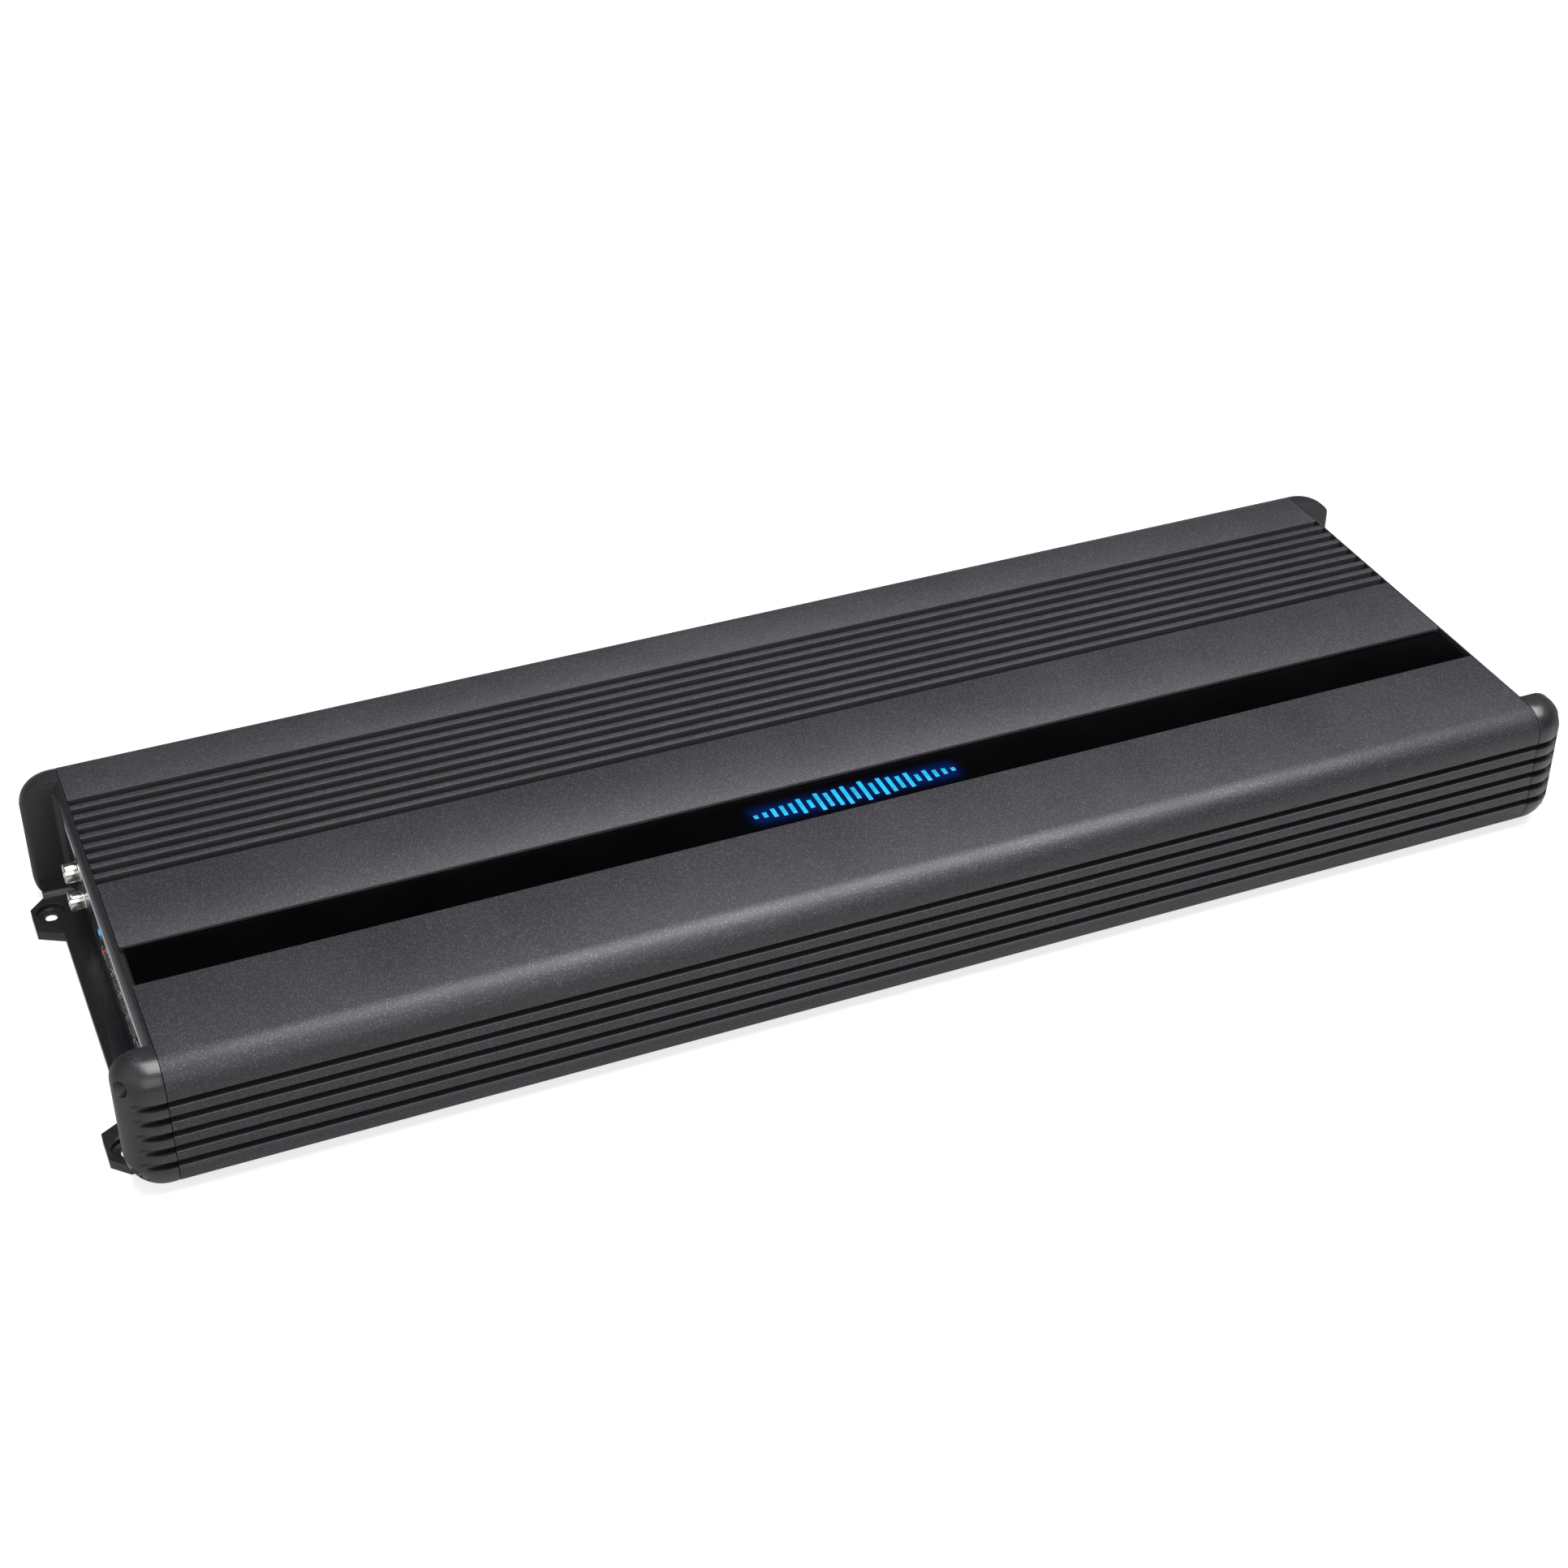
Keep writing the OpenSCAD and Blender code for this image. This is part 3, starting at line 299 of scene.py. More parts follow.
def add_bump(graph, shader, height, strength, distance):
    bump = graph.add("ShaderNodeBump", Strength=strength, Distance=distance, Height=height)
    graph.feed(shader.inputs["Normal"], bump.outputs[0])


# ---------------------------------------------------------------- materials


DUST = (0.3, 0.29, 0.28, 1)
DEEP_SHADE = (0.0015, 0.0015, 0.0018, 1)


def coated_metal(name, tint, roughness, grain, sparkle, bump, specular=0.5, dust=0.012, recess=0.0, lip_highlight=0.0):
    """Powder coat over metal: grain, flakes, mottle and a little dust, with painted shade in the grooves and
    painted highlights on their lips.
    """
    material, shader, graph = start_material(name)
    fine = use_group(graph, "fine_grain", Scale=grain, Mottle_Scale=28.0)
    flakes = use_group(graph, "coat_sparkle", Scale=grain * 1.1, Amount=sparkle)
    film = use_group(graph, "settled_dust", Amount=dust)
    below = use_group(graph, "recess_shade")
    dark = tuple(channel * 0.7 for channel in tint)
    glint = tuple(channel * 5.0 + 0.05 for channel in tint)
    lip_highlight_colour = tuple(channel * 11.0 for channel in tint)
    ground = graph.blend(graph.spread(fine["Height"], 0.35, 0.65), (*dark, 1), (*tint, 1))
    flake = graph.math("MULTIPLY", flakes["Mask"], flakes["Shade"])
    flaked = graph.blend(flake, ground, (*glint, 1))
    dusted = graph.blend(film["Mask"], flaked, DUST)
    # Painted highlight: the grooves' lips are lightened towards a brighter colour.
    lip_highlighted = graph.blend(graph.math("MULTIPLY", below["Lip"], lip_highlight), dusted, (*lip_highlight_colour, 1))
    # Painted shade: the deeper a place lies in a groove, the nearer its colour goes to DEEP_SHADE, and the
    # rougher it gets.
    shaded = graph.math("MULTIPLY", below["Deep"], recess)
    graph.feed(shader.inputs["Base Color"], graph.blend(shaded, lip_highlighted, DEEP_SHADE))
    graph.feed(shader.inputs["Metallic"], flake)
    rough = graph.spread(fine["Mottle"], 0.3, 0.7, roughness - 0.03, roughness + 0.04)
    graph.feed(shader.inputs["Roughness"], graph.math("ADD", rough, graph.math("MULTIPLY", shaded, 0.4)))
    shader.inputs["Specular IOR Level"].default_value = specular
    add_bump(graph, shader, fine["Height"], bump, 0.12 * MM)
    return material


def moulded(name, tint, roughness=0.45, grain=900.0, bump=0.15, specular=0.4, coat=0.0):
    """Moulded plastic with a fine texture."""
    material, shader, graph = start_material(name)
    fine = use_group(graph, "fine_grain", Scale=grain, Mottle_Scale=60.0)
    dark = tuple(channel * 0.8 for channel in tint)
    graph.feed(shader.inputs["Base Color"],
               graph.blend(graph.spread(fine["Mottle"], 0.3, 0.7), (*dark, 1), (*tint, 1)))
    graph.feed(shader.inputs["Roughness"],
               graph.spread(fine["Mottle"], 0.3, 0.7, roughness - 0.04, roughness + 0.06))
    shader.inputs["Specular IOR Level"].default_value = specular
    shader.inputs["Coat Weight"].default_value = coat
    add_bump(graph, shader, fine["Height"], bump, 0.05 * MM)
    return material


def bare_metal(name, tint, roughness=0.28, along=60.0, across=2200.0, bump=0.12):
    """Plated or brushed metal."""
    material, shader, graph = start_material(name)
    lines = use_group(graph, "brushed_lines", Along_X=along, Across=across)
    fine = use_group(graph, "fine_grain", Scale=300.0, Mottle_Scale=90.0)
    dark = tuple(channel * 0.75 for channel in tint)
    graph.feed(shader.inputs["Base Color"],
               graph.blend(graph.spread(fine["Mottle"], 0.3, 0.7), (*dark, 1), (*tint, 1)))
    shader.inputs["Metallic"].default_value = 1.0
    graph.feed(shader.inputs["Roughness"],
               graph.spread(lines["Height"], 0.3, 0.7, roughness - 0.06, roughness + 0.08))
    add_bump(graph, shader, lines["Height"], bump, 0.02 * MM)
    return material


def copper_winding(name):
    """Enamelled wire, seen as turns that run over the ring."""
    material, shader, graph = start_material(name)
    place = graph.add("ShaderNodeTexCoord").outputs["Object"]
    wave = graph.add("ShaderNodeTexWave", {"bands_direction": "DIAGONAL"}, Vector=place, Scale=180.0,
                     Distortion=0.6)
    graph.feed(shader.inputs["Base Color"],
               graph.blend(wave.outputs["Fac"], (0.20, 0.05, 0.012, 1), (0.62, 0.22, 0.07, 1)))
    shader.inputs["Metallic"].default_value = 0.7
    graph.feed(shader.inputs["Roughness"], graph.spread(wave.outputs["Fac"], 0.0, 1.0, 0.42, 0.25))
    add_bump(graph, shader, wave.outputs["Fac"], 0.6, 0.4 * MM)
    return material


def circuit_board(name, tint, track):
    """Solder mask with a faint pattern of tracks."""
    material, shader, graph = start_material(name)
    place = graph.add("ShaderNodeTexCoord").outputs["Object"]
    bricks = graph.add("ShaderNodeTexBrick", Vector=place, Scale=60.0, Mortar_Size=0.06)
    fine = use_group(graph, "fine_grain", Scale=700.0, Mottle_Scale=50.0)
    ground = graph.blend(bricks.outputs["Fac"], (*tint, 1), (*track, 1))
    shade = tuple(channel * 0.7 for channel in tint)
    share = graph.spread(fine["Mottle"], 0.55, 0.8, 0.0, 0.5)
    graph.feed(shader.inputs["Base Color"], graph.blend(share, ground, (*shade, 1)))
    graph.feed(shader.inputs["Roughness"], graph.spread(fine["Mottle"], 0.3, 0.7, 0.28, 0.4))
    add_bump(graph, shader, bricks.outputs["Fac"], 0.3, 0.05 * MM)
    return material


def lit_plastic(name, tint, glow, body=1.0):
    """Clear plastic lit from behind, its glow and colour mottled by fine noise."""
    material, shader, graph = start_material(name)
    fine = use_group(graph, "fine_grain", Scale=500.0, Mottle_Scale=160.0)
    deep = tuple(channel * 0.75 for channel in tint)
    colour = graph.blend(graph.spread(fine["Mottle"], 0.35, 0.65), (*deep, 1), (*tint, 1))
    unlit = tuple(channel * body for channel in tint)
    graph.feed(shader.inputs["Base Color"],
               graph.blend(graph.spread(fine["Mottle"], 0.35, 0.65), (0, 0, 0, 1), (*unlit, 1)))
    graph.feed(shader.inputs["Emission Color"], colour)
    shader.inputs["Emission Strength"].default_value = glow
    graph.feed(shader.inputs["Roughness"], graph.spread(fine["Height"], 0.3, 0.7, 0.2, 0.3))
    return material


HALO_REACH = 3.2 * MM


def window_gloss(name, centre, half_size):
    """Gloss black window with a painted soft blue glow round the lit motif, a halo that fades out beyond a
    box round it.
    """
    material, shader, graph = start_material(name)
    place = graph.add("ShaderNodeTexCoord").outputs["Object"]
    split = graph.add("ShaderNodeSeparateXYZ", Vector=place)
    fine = use_group(graph, "fine_grain", Scale=260.0, Mottle_Scale=30.0)
    shares = []
    for axis in (0, 1):
        offset = graph.math("ABSOLUTE", graph.math("SUBTRACT", split.outputs[axis], centre[axis]))
        beyond = graph.math("MAXIMUM", graph.math("SUBTRACT", offset, half_size[axis]), 0.0)
        shares.append(graph.math("MULTIPLY", beyond, beyond))
    fall = graph.math("DIVIDE", graph.math("ADD", *shares), -HALO_REACH ** 2)
    halo = graph.math("EXPONENT", fall)
    # Painted glow: blue emission on the window itself, round the lit bars.
    graph.feed(shader.inputs["Emission Color"], graph.blend(halo, (0, 0, 0, 1), (0.0, 0.012, 0.085, 1)))
    shader.inputs["Emission Strength"].default_value = 1.0
    graph.feed(shader.inputs["Base Color"],
               graph.blend(graph.spread(fine["Mottle"], 0.3, 0.7), (0.0003, 0.0003, 0.0004, 1),
                           (0.0007, 0.0007, 0.0008, 1)))
    graph.feed(shader.inputs["Roughness"], graph.spread(fine["Mottle"], 0.3, 0.7, 0.05, 0.09))
    shader.inputs["Specular IOR Level"].default_value = 0.03
    return material


def make_materials():
    return {
        "charcoal_coat": coated_metal("charcoal_coat", (0.0110, 0.0106, 0.0134), 0.50, 1500.0, 0.60, 0.8,
                                      specular=0.45, recess=0.93, lip_highlight=0.8),
        "black_casting": coated_metal("black_casting", (0.0110, 0.0108, 0.0130), 0.28, 1100.0, 0.04, 0.3,
                                      recess=0.6),
        "cover_coat": coated_metal("cover_coat", (0.020, 0.020, 0.022), 0.5, 1300.0, 0.2, 0.4, dust=0.0),
        "panel_black": moulded("panel_black", (0.010, 0.010, 0.011), 0.22, 1200.0, 0.06),
        "light_guide": lit_plastic("light_guide", (0.018, 0.50, 0.88), 1.25, 0.02),
        "led_white": lit_plastic("led_white", (0.8, 0.78, 0.6), 0.4),
        "wire_red": moulded("wire_red", (0.5, 0.03, 0.02), 0.4, 400.0, 0.1),
        "cream_plastic": moulded("cream_plastic", (0.72, 0.68, 0.58), 0.4),
        "board_green": circuit_board("board_green", (0.010, 0.075, 0.032), (0.02, 0.13, 0.05)),
        "board_white": circuit_board("board_white", (0.62, 0.64, 0.62), (0.7, 0.71, 0.68)),
        "brass": bare_metal("brass", (0.7, 0.52, 0.24), 0.3),
        "zinc_steel": bare_metal("zinc_steel", (0.6, 0.61, 0.63), 0.3),
        "black_steel": bare_metal("black_steel", (0.13, 0.13, 0.135), 0.33),
        "bare_aluminium": bare_metal("bare_aluminium", (0.62, 0.63, 0.65), 0.34, 20.0, 2600.0),
        "chip_black": moulded("chip_black", (0.02, 0.02, 0.021), 0.55, 1500.0, 0.3),
        "pad_grey": moulded("pad_grey", (0.5, 0.48, 0.45), 0.7, 500.0, 0.2),
        "core_green": moulded("core_green", (0.03, 0.10, 0.075), 0.4, 300.0, 0.2),
        "core_yellow": moulded("core_yellow", (0.5, 0.4, 0.05), 0.4, 300.0, 0.2),
        "copper": copper_winding("copper"),
        "can_blue": moulded("can_blue", (0.010, 0.014, 0.05), 0.25, 300.0, 0.05, coat=0.5),
        "can_black": moulded("can_black", (0.012, 0.010, 0.012), 0.25, 300.0, 0.05, coat=0.5),
        "nickel": bare_metal("nickel", (0.72, 0.70, 0.66), 0.16, 300.0, 900.0, 0.05),
        "white_plastic": moulded("white_plastic", (0.75, 0.75, 0.72), 0.35, 500.0, 0.1),
        "red_plastic": moulded("red_plastic", (0.5, 0.02, 0.012), 0.35, 500.0, 0.1),
        "knob_black": moulded("knob_black", (0.018, 0.018, 0.02), 0.4, 1400.0, 0.2),
        "slider_grey": moulded("slider_grey", (0.42, 0.50, 0.58), 0.4, 900.0, 0.15),
        "led_blue": lit_plastic("led_blue", (0.01, 0.35, 0.9), 0.5),
        "led_red": lit_plastic("led_red", (0.55, 0.02, 0.01), 0.15),
    }


# ---------------------------------------------------------------- making pieces


def deselect_all():
    bpy.ops.object.select_all(action="DESELECT")


def activate(piece):
    deselect_all()
    piece.select_set(True)
    bpy.context.view_layer.objects.active = piece


def apply_modifier(piece, kind, **settings):
    activate(piece)
    modifier = piece.modifiers.new(kind.lower(), kind)
    for key, value in settings.items():
        setattr(modifier, key, value)
    bpy.ops.object.modifier_apply(modifier=modifier.name)


def settle(piece, angle=35):
    """Applies a piece's place to its mesh and shades it smooth between sharp edges."""
    activate(piece)
    bpy.ops.object.transform_apply(location=True, rotation=True, scale=True)
    bpy.ops.object.shade_smooth_by_angle(angle=math.radians(angle))


def finish_piece(piece, name, slot, body=ROOT, replaces=(), material=None):
    piece.name = name
    piece.data.name = name
    piece.data.materials.clear()
    piece.data.materials.append(MATERIALS[material or slot])
    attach(piece, body)
    if replaces:
        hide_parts(*replaces)
    return piece


def node_facts(node):
    """The body that a CAD node rides on and its material slot."""
    record = frame["record"]
    body = next(b for b, members in record["behaviour"]["bodies"].items() if node in members)
    slot = next(part["material_slot"] for part in record["subparts"] if part["node"] == node)
    return body, slot


def softened(node, width, segments=2, angle=30):
    """A copy of a CAD node with its flat faces joined up and its sharp edges rounded."""
    source = frame["nodes"][node]
    piece = source.copy()
    piece.data = source.data.copy()
    piece.parent = None
    for key in list(piece.keys()):
        del piece[key]
    bpy.context.scene.collection.objects.link(piece)
    activate(piece)
    bpy.ops.mesh.customdata_custom_splitnormals_clear()
    bpy.ops.object.mode_set(mode="EDIT")
    bpy.ops.mesh.select_all(action="SELECT")
    bpy.ops.mesh.remove_doubles(threshold=0.000002)
    bpy.ops.mesh.dissolve_limited(angle_limit=math.radians(0.8))
    bpy.ops.object.mode_set(mode="OBJECT")
    apply_modifier(piece, "BEVEL", width=width, segments=segments, limit_method="ANGLE",
                   angle_limit=math.radians(angle), miter_outer="MITER_ARC")
    settle(piece)
    body, slot = node_facts(node)
    return finish_piece(piece, node + "_finished", slot, body, (node,))


def dress_cad_nodes():
    """Every CAD node gets the material of its slot."""
    for name, node in frame["nodes"].items():
        slot = node_facts(name)[1]
        node.data.materials.clear()
        node.data.materials.append(MATERIALS[slot])


# ---------------------------------------------------------------- lit strip


def make_window_strip():
    """The gloss strip: one plate with eased edges, which covers the lit parts' cut-outs."""
    piece = eased_block(*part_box("window_strip"), 0.25 * MM, 3)
    settle(piece)
    return finish_piece(piece, "window_strip_finished", "window_black", ROOT, ("window_strip",))


BAR_COUNT = 23
BAR_PITCH, BAR_WIDTH, BAR_THICK = 3.9 * MM, 1.9 * MM, 0.5 * MM
BAR_SHORT, BAR_LONG = 2.4 * MM, 13.6 * MM
BAR_FLOOR, BAR_TURN = 0.35, math.radians(75)
BAR_SINK = 0.2 * MM


def bar_length(index):
    """A plain pulse: short bars at both ends, longer ones that come and go in the middle."""
    half = (BAR_COUNT - 1) / 2
    share = (index - half) / half
    swell = BAR_FLOOR + (1 - BAR_FLOOR) * abs(math.cos(index * BAR_TURN))
    return BAR_SHORT + (BAR_LONG - BAR_SHORT) * (1 - share * share) * swell


def make_light_bars():
    """The lit motif: a row of bars, level with the strip's face."""
    low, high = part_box("strip_light")
    middle = (low + high) / 2
    bars = []
    for index in range(BAR_COUNT):
        x = middle.x + (index - (BAR_COUNT - 1) / 2) * BAR_PITCH
        deselect_all()
        bpy.ops.mesh.primitive_cube_add(size=1, location=(x, middle.y, high.z - BAR_SINK))
        bar = bpy.context.object
        bar.scale = (BAR_WIDTH, bar_length(index), BAR_THICK)
        activate(bar)
        bpy.ops.object.transform_apply(location=True, rotation=False, scale=True)
        apply_modifier(bar, "BEVEL", width=0.12 * MM, segments=2, limit_method="ANGLE")
        bars.append(bar)
    piece = joined(bars)
    settle(piece)
    return finish_piece(piece, "light_bars", "light_guide", ROOT, ("strip_light",))


HALO_INSET = (4 * MM, 5 * MM)


def make_strip():
    low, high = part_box("strip_light")
    middle = (low + high) / 2
    half_size = ((high.x - low.x) / 2 - HALO_INSET[0], (high.y - low.y) / 2 - HALO_INSET[1])
    MATERIALS["window_black"] = window_gloss("window_black", middle, half_size)
    make_window_strip()
    make_light_bars()


# ---------------------------------------------------------------- turned and joined pieces


def turned(profile, sides=32):
    """A solid turned round Z from (height, radius) steps, extruded ring by ring from a filled circle."""
    height, radius = profile[0]
    deselect_all()
    bpy.ops.mesh.primitive_circle_add(vertices=sides, radius=radius * MM, fill_type="NGON",
                                      location=(0, 0, height * MM))
    piece = bpy.context.object
    bpy.ops.object.transform_apply(location=True, rotation=False, scale=False)
    bpy.ops.object.mode_set(mode="EDIT")
    bpy.ops.mesh.select_all(action="SELECT")
    for next_height, next_radius in profile[1:]:
        bpy.ops.mesh.extrude_region_move(
            TRANSFORM_OT_translate={"value": (0, 0, (next_height - height) * MM)})
        growth = next_radius / radius
        bpy.ops.transform.resize(value=(growth, growth, 1), center_override=(0, 0, next_height * MM))
        height, radius = next_height, next_radius
    bpy.ops.mesh.select_all(action="SELECT")
    bpy.ops.mesh.normals_make_consistent(inside=False)
    bpy.ops.object.mode_set(mode="OBJECT")
    return piece


def lay_along_x(piece, face_x, y, z, outward):
    """Turns a piece made round Z so that its top points along X, and puts its origin at a face."""
    piece.rotation_euler = (0, outward * math.pi / 2, 0)
    piece.location = (face_x, y, z)
    activate(piece)
    bpy.ops.object.transform_apply(location=True, rotation=True, scale=True)


def eased_block(low, high, edge, segments=2):
    """A block between two corners with its edges rounded."""
    deselect_all()
    low, high = Vector(low), Vector(high)
    bpy.ops.mesh.primitive_cube_add(size=1, location=(low + high) / 2)
    piece = bpy.context.object
    piece.scale = high - low
    activate(piece)
    bpy.ops.object.transform_apply(location=True, rotation=False, scale=True)
    bpy.ops.object.mode_set(mode="EDIT")
    bpy.ops.mesh.select_all(action="SELECT")
    bpy.ops.mesh.bevel(offset=edge, segments=segments, affect="EDGES")
    bpy.ops.object.mode_set(mode="OBJECT")
    return piece


def joined(pieces):
    activate(pieces[0])
    for piece in pieces:
        piece.select_set(True)
    bpy.ops.object.join()
    return pieces[0]


def centre_of(node):
    low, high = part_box(node)
    return (low + high) / 2


# ---------------------------------------------------------------- input end

CAP_DEPTH = 21.6 * MM
LEFT_FACE = cad_bounds[0][0] + CAP_DEPTH
PANEL_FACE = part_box("input_panel")[0].x
KNOBS = ("gain_knob", "low_pass_knob", "subsonic_knob", "bass_boost_knob")
BAND_Z, BAND_H = 38.6 * MM, 5.2 * MM
BAND_END_GAP, BAND_JACK_GAP = 3 * MM, 6 * MM
DOT_COUNT, DOT_SIZE, DOT_DROP = 16, 0.8 * MM, 4.3 * MM
BARREL = [(-4, 3.9), (0, 3.9), (0, 4.7), (1.8, 4.7), (2.1, 4.45), (2.1, 4.2), (2.7, 4.2), (2.85, 4.05),
          (3.2, 4.05), (3.35, 4.2), (7.3, 4.2), (7.62, 4.08), (7.75, 3.85), (7.68, 3.62), (7.45, 3.5),
          (-3.8, 3.5)]
GRIP = [(-1.5, 3.0), (-1.25, 3.25), (1.65, 3.25), (1.9, 3.0)]
GRIP_RIBS = 20
LENS = [(-11, 1.48), (1.72, 1.48), (1.95, 1.38), (2.1, 1.12), (2.18, 0.75), (2.22, 0.25)]
# How far print stands proud of the panel, and how far it reaches into it
PRINT_RISE, PRINT_SINK = 0.06 * MM, 0.05 * MM
DIAL_R, DIAL_END_R = 4.9 * MM, 5.1 * MM
DIAL_STEPS, DIAL_STEP, DIAL_START = 11, 30, -150
LAMP_RING_R, LAMP_DOTS = 2.5 * MM, 8
CONTACT_PITCH = 1.3 * MM


def make_jack_barrels():
    """Two plated phono shells with a collar, a turned groove and a rolled mouth."""
    shells = []
    for node in ("left_jack_insulator", "right_jack_insulator"):
        middle = centre_of(node)
        shell = turned(BARREL, 40)
        lay_along_x(shell, LEFT_FACE, middle.y, middle.z, -1)
        shells.append(shell)
    piece = joined(shells)
    settle(piece, 25)
    finish_piece(piece, "jack_shells", "nickel", ROOT, ("jack_barrels",))


def make_grip_ring(node):
    """A ribbed ring round a control knob."""
    middle = centre_of(node)
    ring = turned(GRIP, 2 * GRIP_RIBS)
    bpy.ops.object.mode_set(mode="EDIT")
    bpy.ops.mesh.select_all(action="DESELECT")
    bpy.ops.mesh.select_mode(type="FACE")
    bpy.ops.object.mode_set(mode="OBJECT")
    for face in ring.data.polygons:
        turn = math.degrees(math.atan2(face.center.y, face.center.x)) % (360 / GRIP_RIBS)
        face.select = abs(face.normal.z) < 0.1 and turn < 180 / GRIP_RIBS
    bpy.ops.object.mode_set(mode="EDIT")
    bpy.ops.mesh.inset(thickness=0.05 * MM, depth=-0.16 * MM, use_individual=True)
    bpy.ops.object.mode_set(mode="OBJECT")
    lay_along_x(ring, LEFT_FACE, middle.y, middle.z, -1)
    settle(ring, 20)
    finish_piece(ring, node + "_grip", "knob_black", node_facts(node)[0])


def make_pointer(node):
    """A painted line in the upper half of a knob's slot."""
    middle = centre_of(node)
    face = LEFT_FACE - 1.1 * MM
    line = eased_block((face - 0.12 * MM, middle.y - 0.34 * MM, middle.z + 0.5 * MM),
                       (face + 0.1 * MM, middle.y + 0.34 * MM, middle.z + 2.8 * MM), 0.04 * MM)
    settle(line)
    finish_piece(line, node + "_pointer", "cream_plastic", node_facts(node)[0])


def print_tick(y, z, turn, size):
    """One raised printed tick on the input panel, turned round the panel's normal."""
    across, along = size
    tick = eased_block((PANEL_FACE - PRINT_RISE, -across / 2, -along / 2),
                       (PANEL_FACE + PRINT_SINK, across / 2, along / 2), 0.02 * MM, 1)
    tick.rotation_euler = (turn, 0, 0)
    tick.location = (0, y, z)
    activate(tick)
    bpy.ops.object.transform_apply(location=True, rotation=True, scale=True)
    return tick


def make_panel_print():
    """Dial ticks round the knobs, end marks at the switches and rings of dots round the lights."""
    ticks = []
    for node in KNOBS:
        middle = centre_of(node)
        for step in range(DIAL_STEPS):
            turn = math.radians(DIAL_START + DIAL_STEP * step)
            reach = DIAL_R if step % 5 else DIAL_END_R
            long = 0.8 * MM if step % 5 else 1.3 * MM
            ticks.append(print_tick(middle.y + reach * math.sin(turn), middle.z + reach * math.cos(turn),
                                    -turn, (0.34 * MM, long)))
    for node in ("phase_slider", "mode_slider"):
        middle = centre_of(node)
        for shift in (0, 3):
            ticks.append(print_tick(middle.y + shift * MM, middle.z + 3.3 * MM, 0, (0.34 * MM, 1.2 * MM)))
        ticks.append(print_tick(middle.y + 1.5 * MM, middle.z - 3.2 * MM, 0, (6.4 * MM, 0.3 * MM)))
    for node in ("power_led", "protect_led"):
        middle = centre_of(node)
        for step in range(LAMP_DOTS):
            turn = 2 * math.pi * step / LAMP_DOTS
            y, z = middle.y + LAMP_RING_R * math.sin(turn), middle.z + LAMP_RING_R * math.cos(turn)
            ticks.append(print_tick(y, z, -turn, (0.3 * MM, 0.5 * MM)))
    piece = joined(ticks)
    settle(piece)
    finish_piece(piece, "panel_print", "cream_plastic")


def make_panel_border():
    """A pale band above the controls, broken at the phono jacks, and a row of dots below it."""
    low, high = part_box("input_panel")
    jack_y = centre_of("left_jack_insulator").y
    runs = ((low.y + BAND_END_GAP, jack_y - BAND_JACK_GAP), (jack_y + BAND_JACK_GAP, high.y - BAND_END_GAP))
    bands = []
    for start, end in runs:
        bands.append(eased_block((PANEL_FACE - PRINT_RISE, start, BAND_Z - BAND_H / 2),
                                 (PANEL_FACE + PRINT_SINK, end, BAND_Z + BAND_H / 2), 0.02 * MM, 1))
    piece = joined(bands)
    settle(piece)
    finish_piece(piece, "panel_band", "slider_grey")
    first, last = centre_of(KNOBS[0]).y, centre_of(KNOBS[-1]).y
    dots = []
    for index in range(DOT_COUNT):
        y = first + (last - first) * index / (DOT_COUNT - 1)
        dots.append(print_tick(y, BAND_Z - DOT_DROP, 0, (DOT_SIZE, DOT_SIZE)))
    piece = joined(dots)
    settle(piece)
    finish_piece(piece, "panel_dots", "brass")


def make_status_light(node):
    """A domed lens on a status light."""
    middle = centre_of(node)
    lens = turned(LENS, 24)
    lay_along_x(lens, LEFT_FACE, middle.y, middle.z, -1)
    settle(lens, 50)
    finish_piece(lens, node + "_lens", node_facts(node)[1], ROOT, (node,))


def make_remote_contacts():
    """Four sprung contacts in the control lead's socket."""
    low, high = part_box("remote_jack")
    middle = (low + high) / 2
    wires = []
    for index in range(4):
        y = middle.y + (index - 1.5) * CONTACT_PITCH
        wires.append(eased_block((low.x + 1.5 * MM, y - 0.2 * MM, middle.z + 1.4 * MM),
                                 (low.x + 8.6 * MM, y + 0.2 * MM, middle.z + 1.8 * MM), 0.08 * MM, 1))
    piece = joined(wires)
    settle(piece)
    finish_piece(piece, "remote_contacts", "brass")


def make_input_end():
    make_jack_barrels()
    for node in KNOBS:
        softened(node, 0.12 * MM)
        make_grip_ring(node)
        make_pointer(node)
    for node in ("phase_slider", "mode_slider"):
        softened(node, 0.1 * MM)
    for node in ("power_led", "protect_led"):
        make_status_light(node)
    softened("remote_jack", 0.25 * MM)
    make_remote_contacts()
    make_panel_print()
    make_panel_border()


# ---------------------------------------------------------------- terminal end


MARK_DROP, MARK_ARM, MARK_HALF_W = 2.6 * MM, 1.3 * MM, 0.28 * MM
MARK_SINK, MARK_RISE = 0.1 * MM, 0.15 * MM


def make_polarity_marks():
    """Raised plus and minus marks on the terminal blocks, above their wire entries."""
    bars = []
    for node, sign in (("positive_set_screw", 1), ("ground_set_screw", -1), ("speaker_plus_set_screw", 1),
                       ("speaker_minus_set_screw", -1)):
        y = centre_of(node).y
        block = "speaker_terminal_block" if node.startswith("speaker") else "power_terminal_block"
        face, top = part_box(block)[1].x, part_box(block)[1].z
        z = top - MARK_DROP
        arms = [(MARK_ARM, MARK_HALF_W)]
        if sign > 0:
            arms.append((MARK_HALF_W, MARK_ARM))
        for half_y, half_z in arms:
            bars.append(eased_block((face - MARK_SINK, y - half_y, z - half_z),
                                    (face + MARK_RISE, y + half_y, z + half_z), 0.06 * MM))
    piece = joined(bars)
    settle(piece)
    finish_piece(piece, "polarity_marks", "cream_plastic")


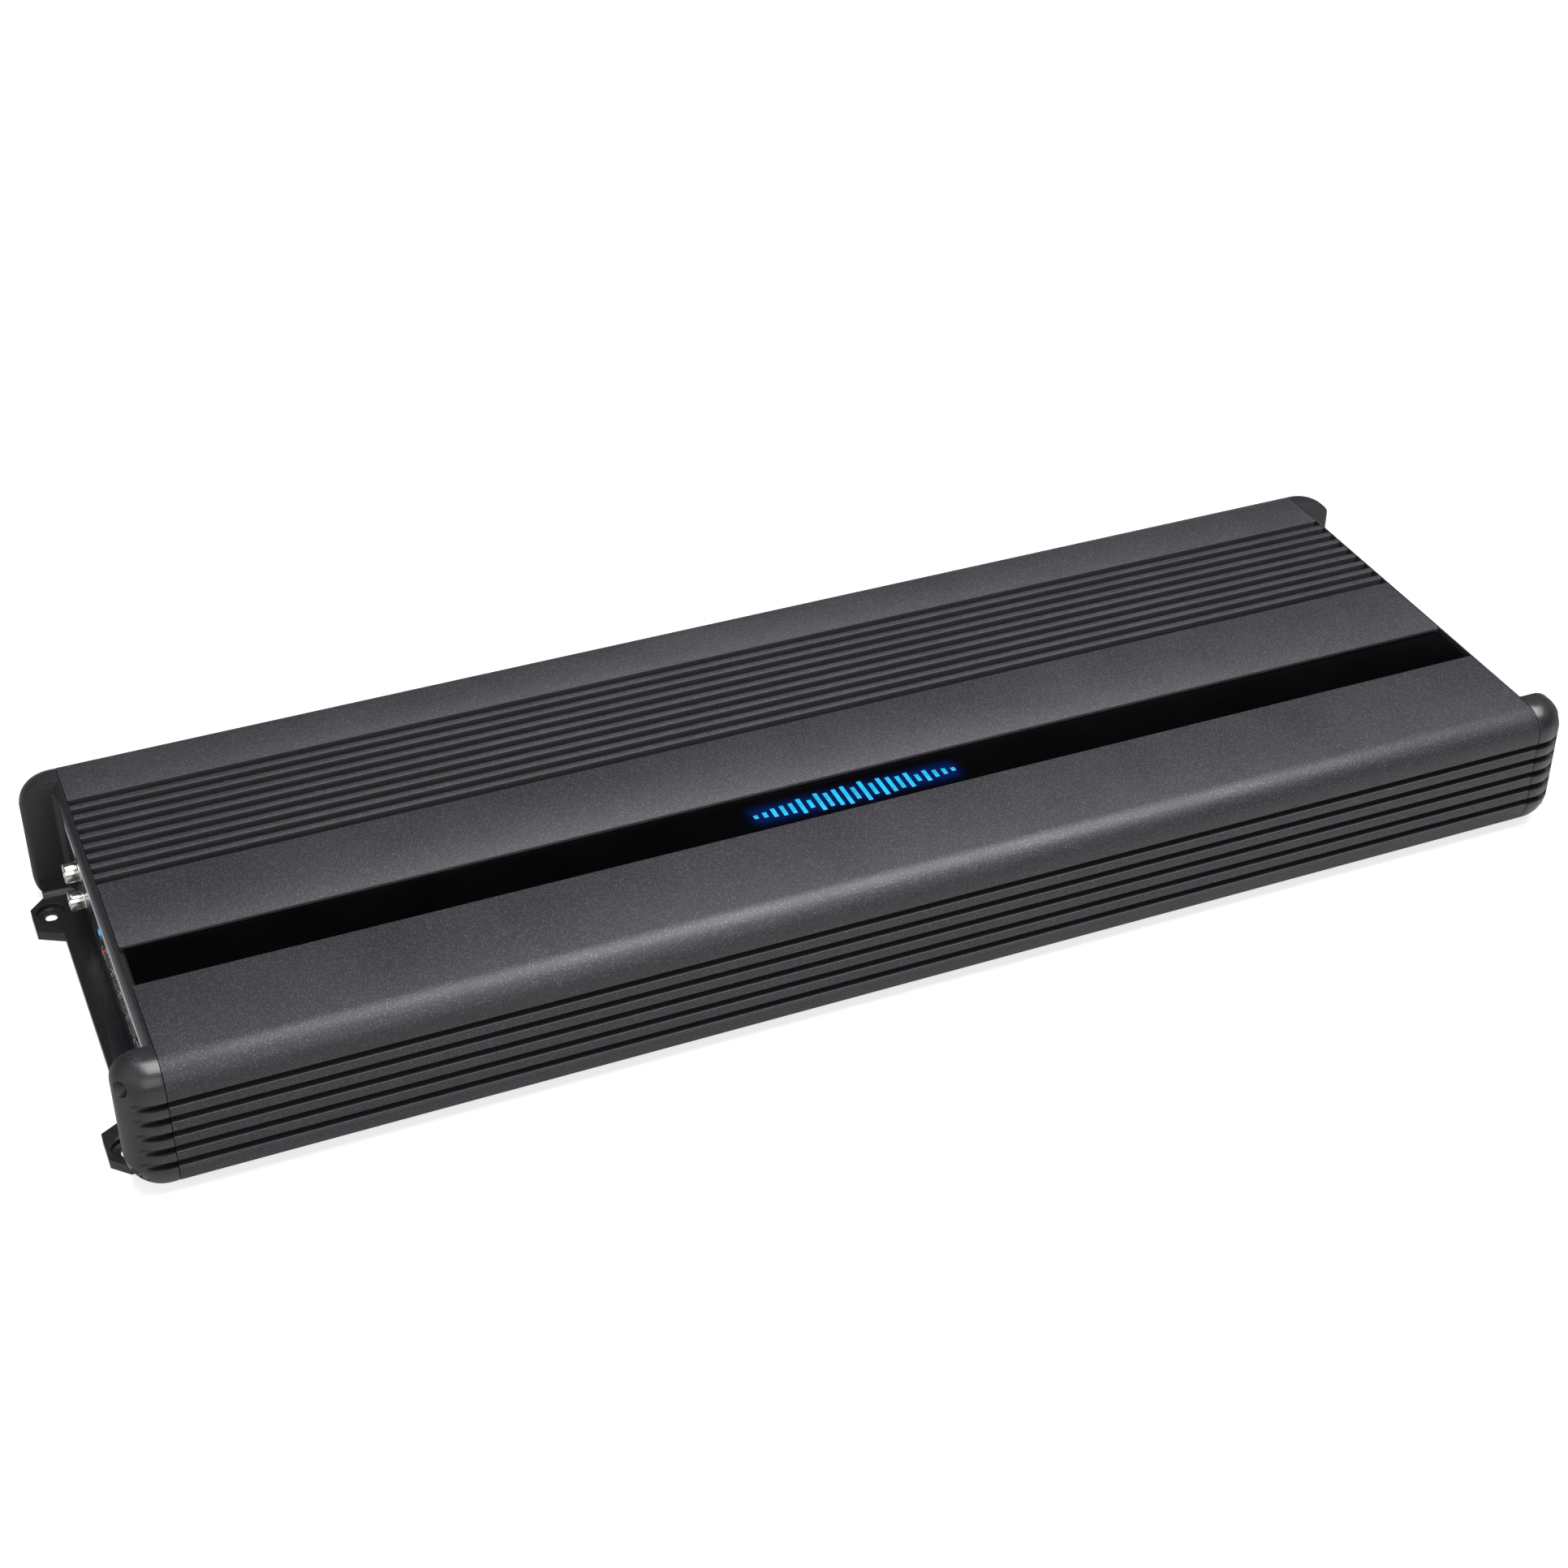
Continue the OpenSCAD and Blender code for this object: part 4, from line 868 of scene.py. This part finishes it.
def make_terminal_end():
    for node in ("power_terminal_block", "speaker_terminal_block"):
        softened(node, 0.4 * MM)
    for node in ("power_terminal_posts", "speaker_terminal_posts"):
        softened(node, 0.25 * MM)
    for node in ("positive_set_screw", "ground_set_screw", "trigger_set_screw", "speaker_plus_set_screw",
                 "speaker_minus_set_screw"):
        softened(node, 0.15 * MM)
    make_polarity_marks()


# ---------------------------------------------------------------- screws


HEX_R = 1.35
CAP_HEAD_R, CAP_HEAD_H = 2.8, 3.2
UPPER_SCREW_STEP = 1.1 * MM
CAP_SCREW = [(-12, 1.7), (0, 1.7), (0, 2.8), (1.3, 2.8), (2.1, 2.55), (2.7, 2.1), (3.05, 1.55), (3.2, 0.9)]


def make_cap_screws(node, outward):
    """Four button-head screws with hex sockets, one model copied to an end cap's four holes."""
    low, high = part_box(node)
    head = turned(CAP_SCREW, 32)
    bpy.ops.mesh.primitive_cylinder_add(vertices=6, radius=HEX_R * MM, depth=3 * MM,
                                        location=(0, 0, 2.9 * MM))
    cutter = bpy.context.object
    apply_modifier(head, "BOOLEAN", operation="DIFFERENCE", object=cutter, solver="EXACT")
    bpy.data.objects.remove(cutter)
    seat = (high.x if outward > 0 else low.x) - outward * CAP_HEAD_H * MM
    radius = CAP_HEAD_R * MM
    screws = []
    for side in (-1, 1):
        edge = high.y - radius
        for y, z in ((edge, low.z + radius), (edge - UPPER_SCREW_STEP, high.z - radius)):
            screw = head.copy()
            screw.data = head.data.copy()
            bpy.context.scene.collection.objects.link(screw)
            lay_along_x(screw, seat, side * y, z, outward)
            screws.append(screw)
    bpy.data.objects.remove(head)
    piece = joined(screws)
    settle(piece, 30)
    finish_piece(piece, node + "_finished", node_facts(node)[1], ROOT, (node,))


COVER_SCREWS_IN_ROW = 6
COVER_HEAD_R, COVER_HEAD_H = 2.75, 1.7
COVER_SCREW = [(-5.0, 1.4), (0, 1.4), (0, 2.75), (0.9, 2.75), (1.35, 2.45), (1.62, 1.8), (1.7, 1.35),
               (1.7, 0.9)]
CROSS_LONG, CROSS_WIDE = 3.2, 0.7


def make_cover_screws():
    """Pan-head screws with a cross recess, one model copied to every hole in the bottom cover."""
    low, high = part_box("bottom_cover_screws")
    head = turned(COVER_SCREW, 24)
    cutters = []
    for size in ((CROSS_LONG, CROSS_WIDE), (CROSS_WIDE, CROSS_LONG)):
        cutters.append(eased_block((-size[0] / 2 * MM, -size[1] / 2 * MM, 0.6 * MM),
                                   (size[0] / 2 * MM, size[1] / 2 * MM, 2.6 * MM), 0.05 * MM, 1))
    for cutter in cutters:
        apply_modifier(head, "BOOLEAN", operation="DIFFERENCE", object=cutter, solver="EXACT")
        bpy.data.objects.remove(cutter)
    inset = COVER_HEAD_R * MM
    screws = []
    for index in range(COVER_SCREWS_IN_ROW):
        for y in (low.y + inset, high.y - inset):
            screw = head.copy()
            screw.data = head.data.copy()
            bpy.context.scene.collection.objects.link(screw)
            x = low.x + inset + (high.x - low.x - 2 * inset) * index / (COVER_SCREWS_IN_ROW - 1)
            screw.rotation_euler = (math.pi, 0, 0.6 * index + (0.4 if y > 0 else 0))
            screw.location = (x, y, low.z + COVER_HEAD_H * MM)
            activate(screw)
            bpy.ops.object.transform_apply(location=True, rotation=True, scale=True)
            screws.append(screw)
    bpy.data.objects.remove(head)
    piece = joined(screws)
    settle(piece, 30)
    finish_piece(piece, "cover_screws_finished", node_facts("bottom_cover_screws")[1], ROOT,
                 ("bottom_cover_screws",))


# ---------------------------------------------------------------- run

make_camera()
make_studio()
make_floor()
build_groups()
MATERIALS = make_materials()
make_strip()
dress_cad_nodes()
softened("housing", 0.35 * MM)
softened("left_end_cap", 0.5 * MM)
softened("right_end_cap", 0.5 * MM)
make_cap_screws("left_cap_screws", -1)
make_cap_screws("right_cap_screws", 1)
softened("bottom_cover", 0.25 * MM)
make_input_end()
make_terminal_end()
make_cover_screws()
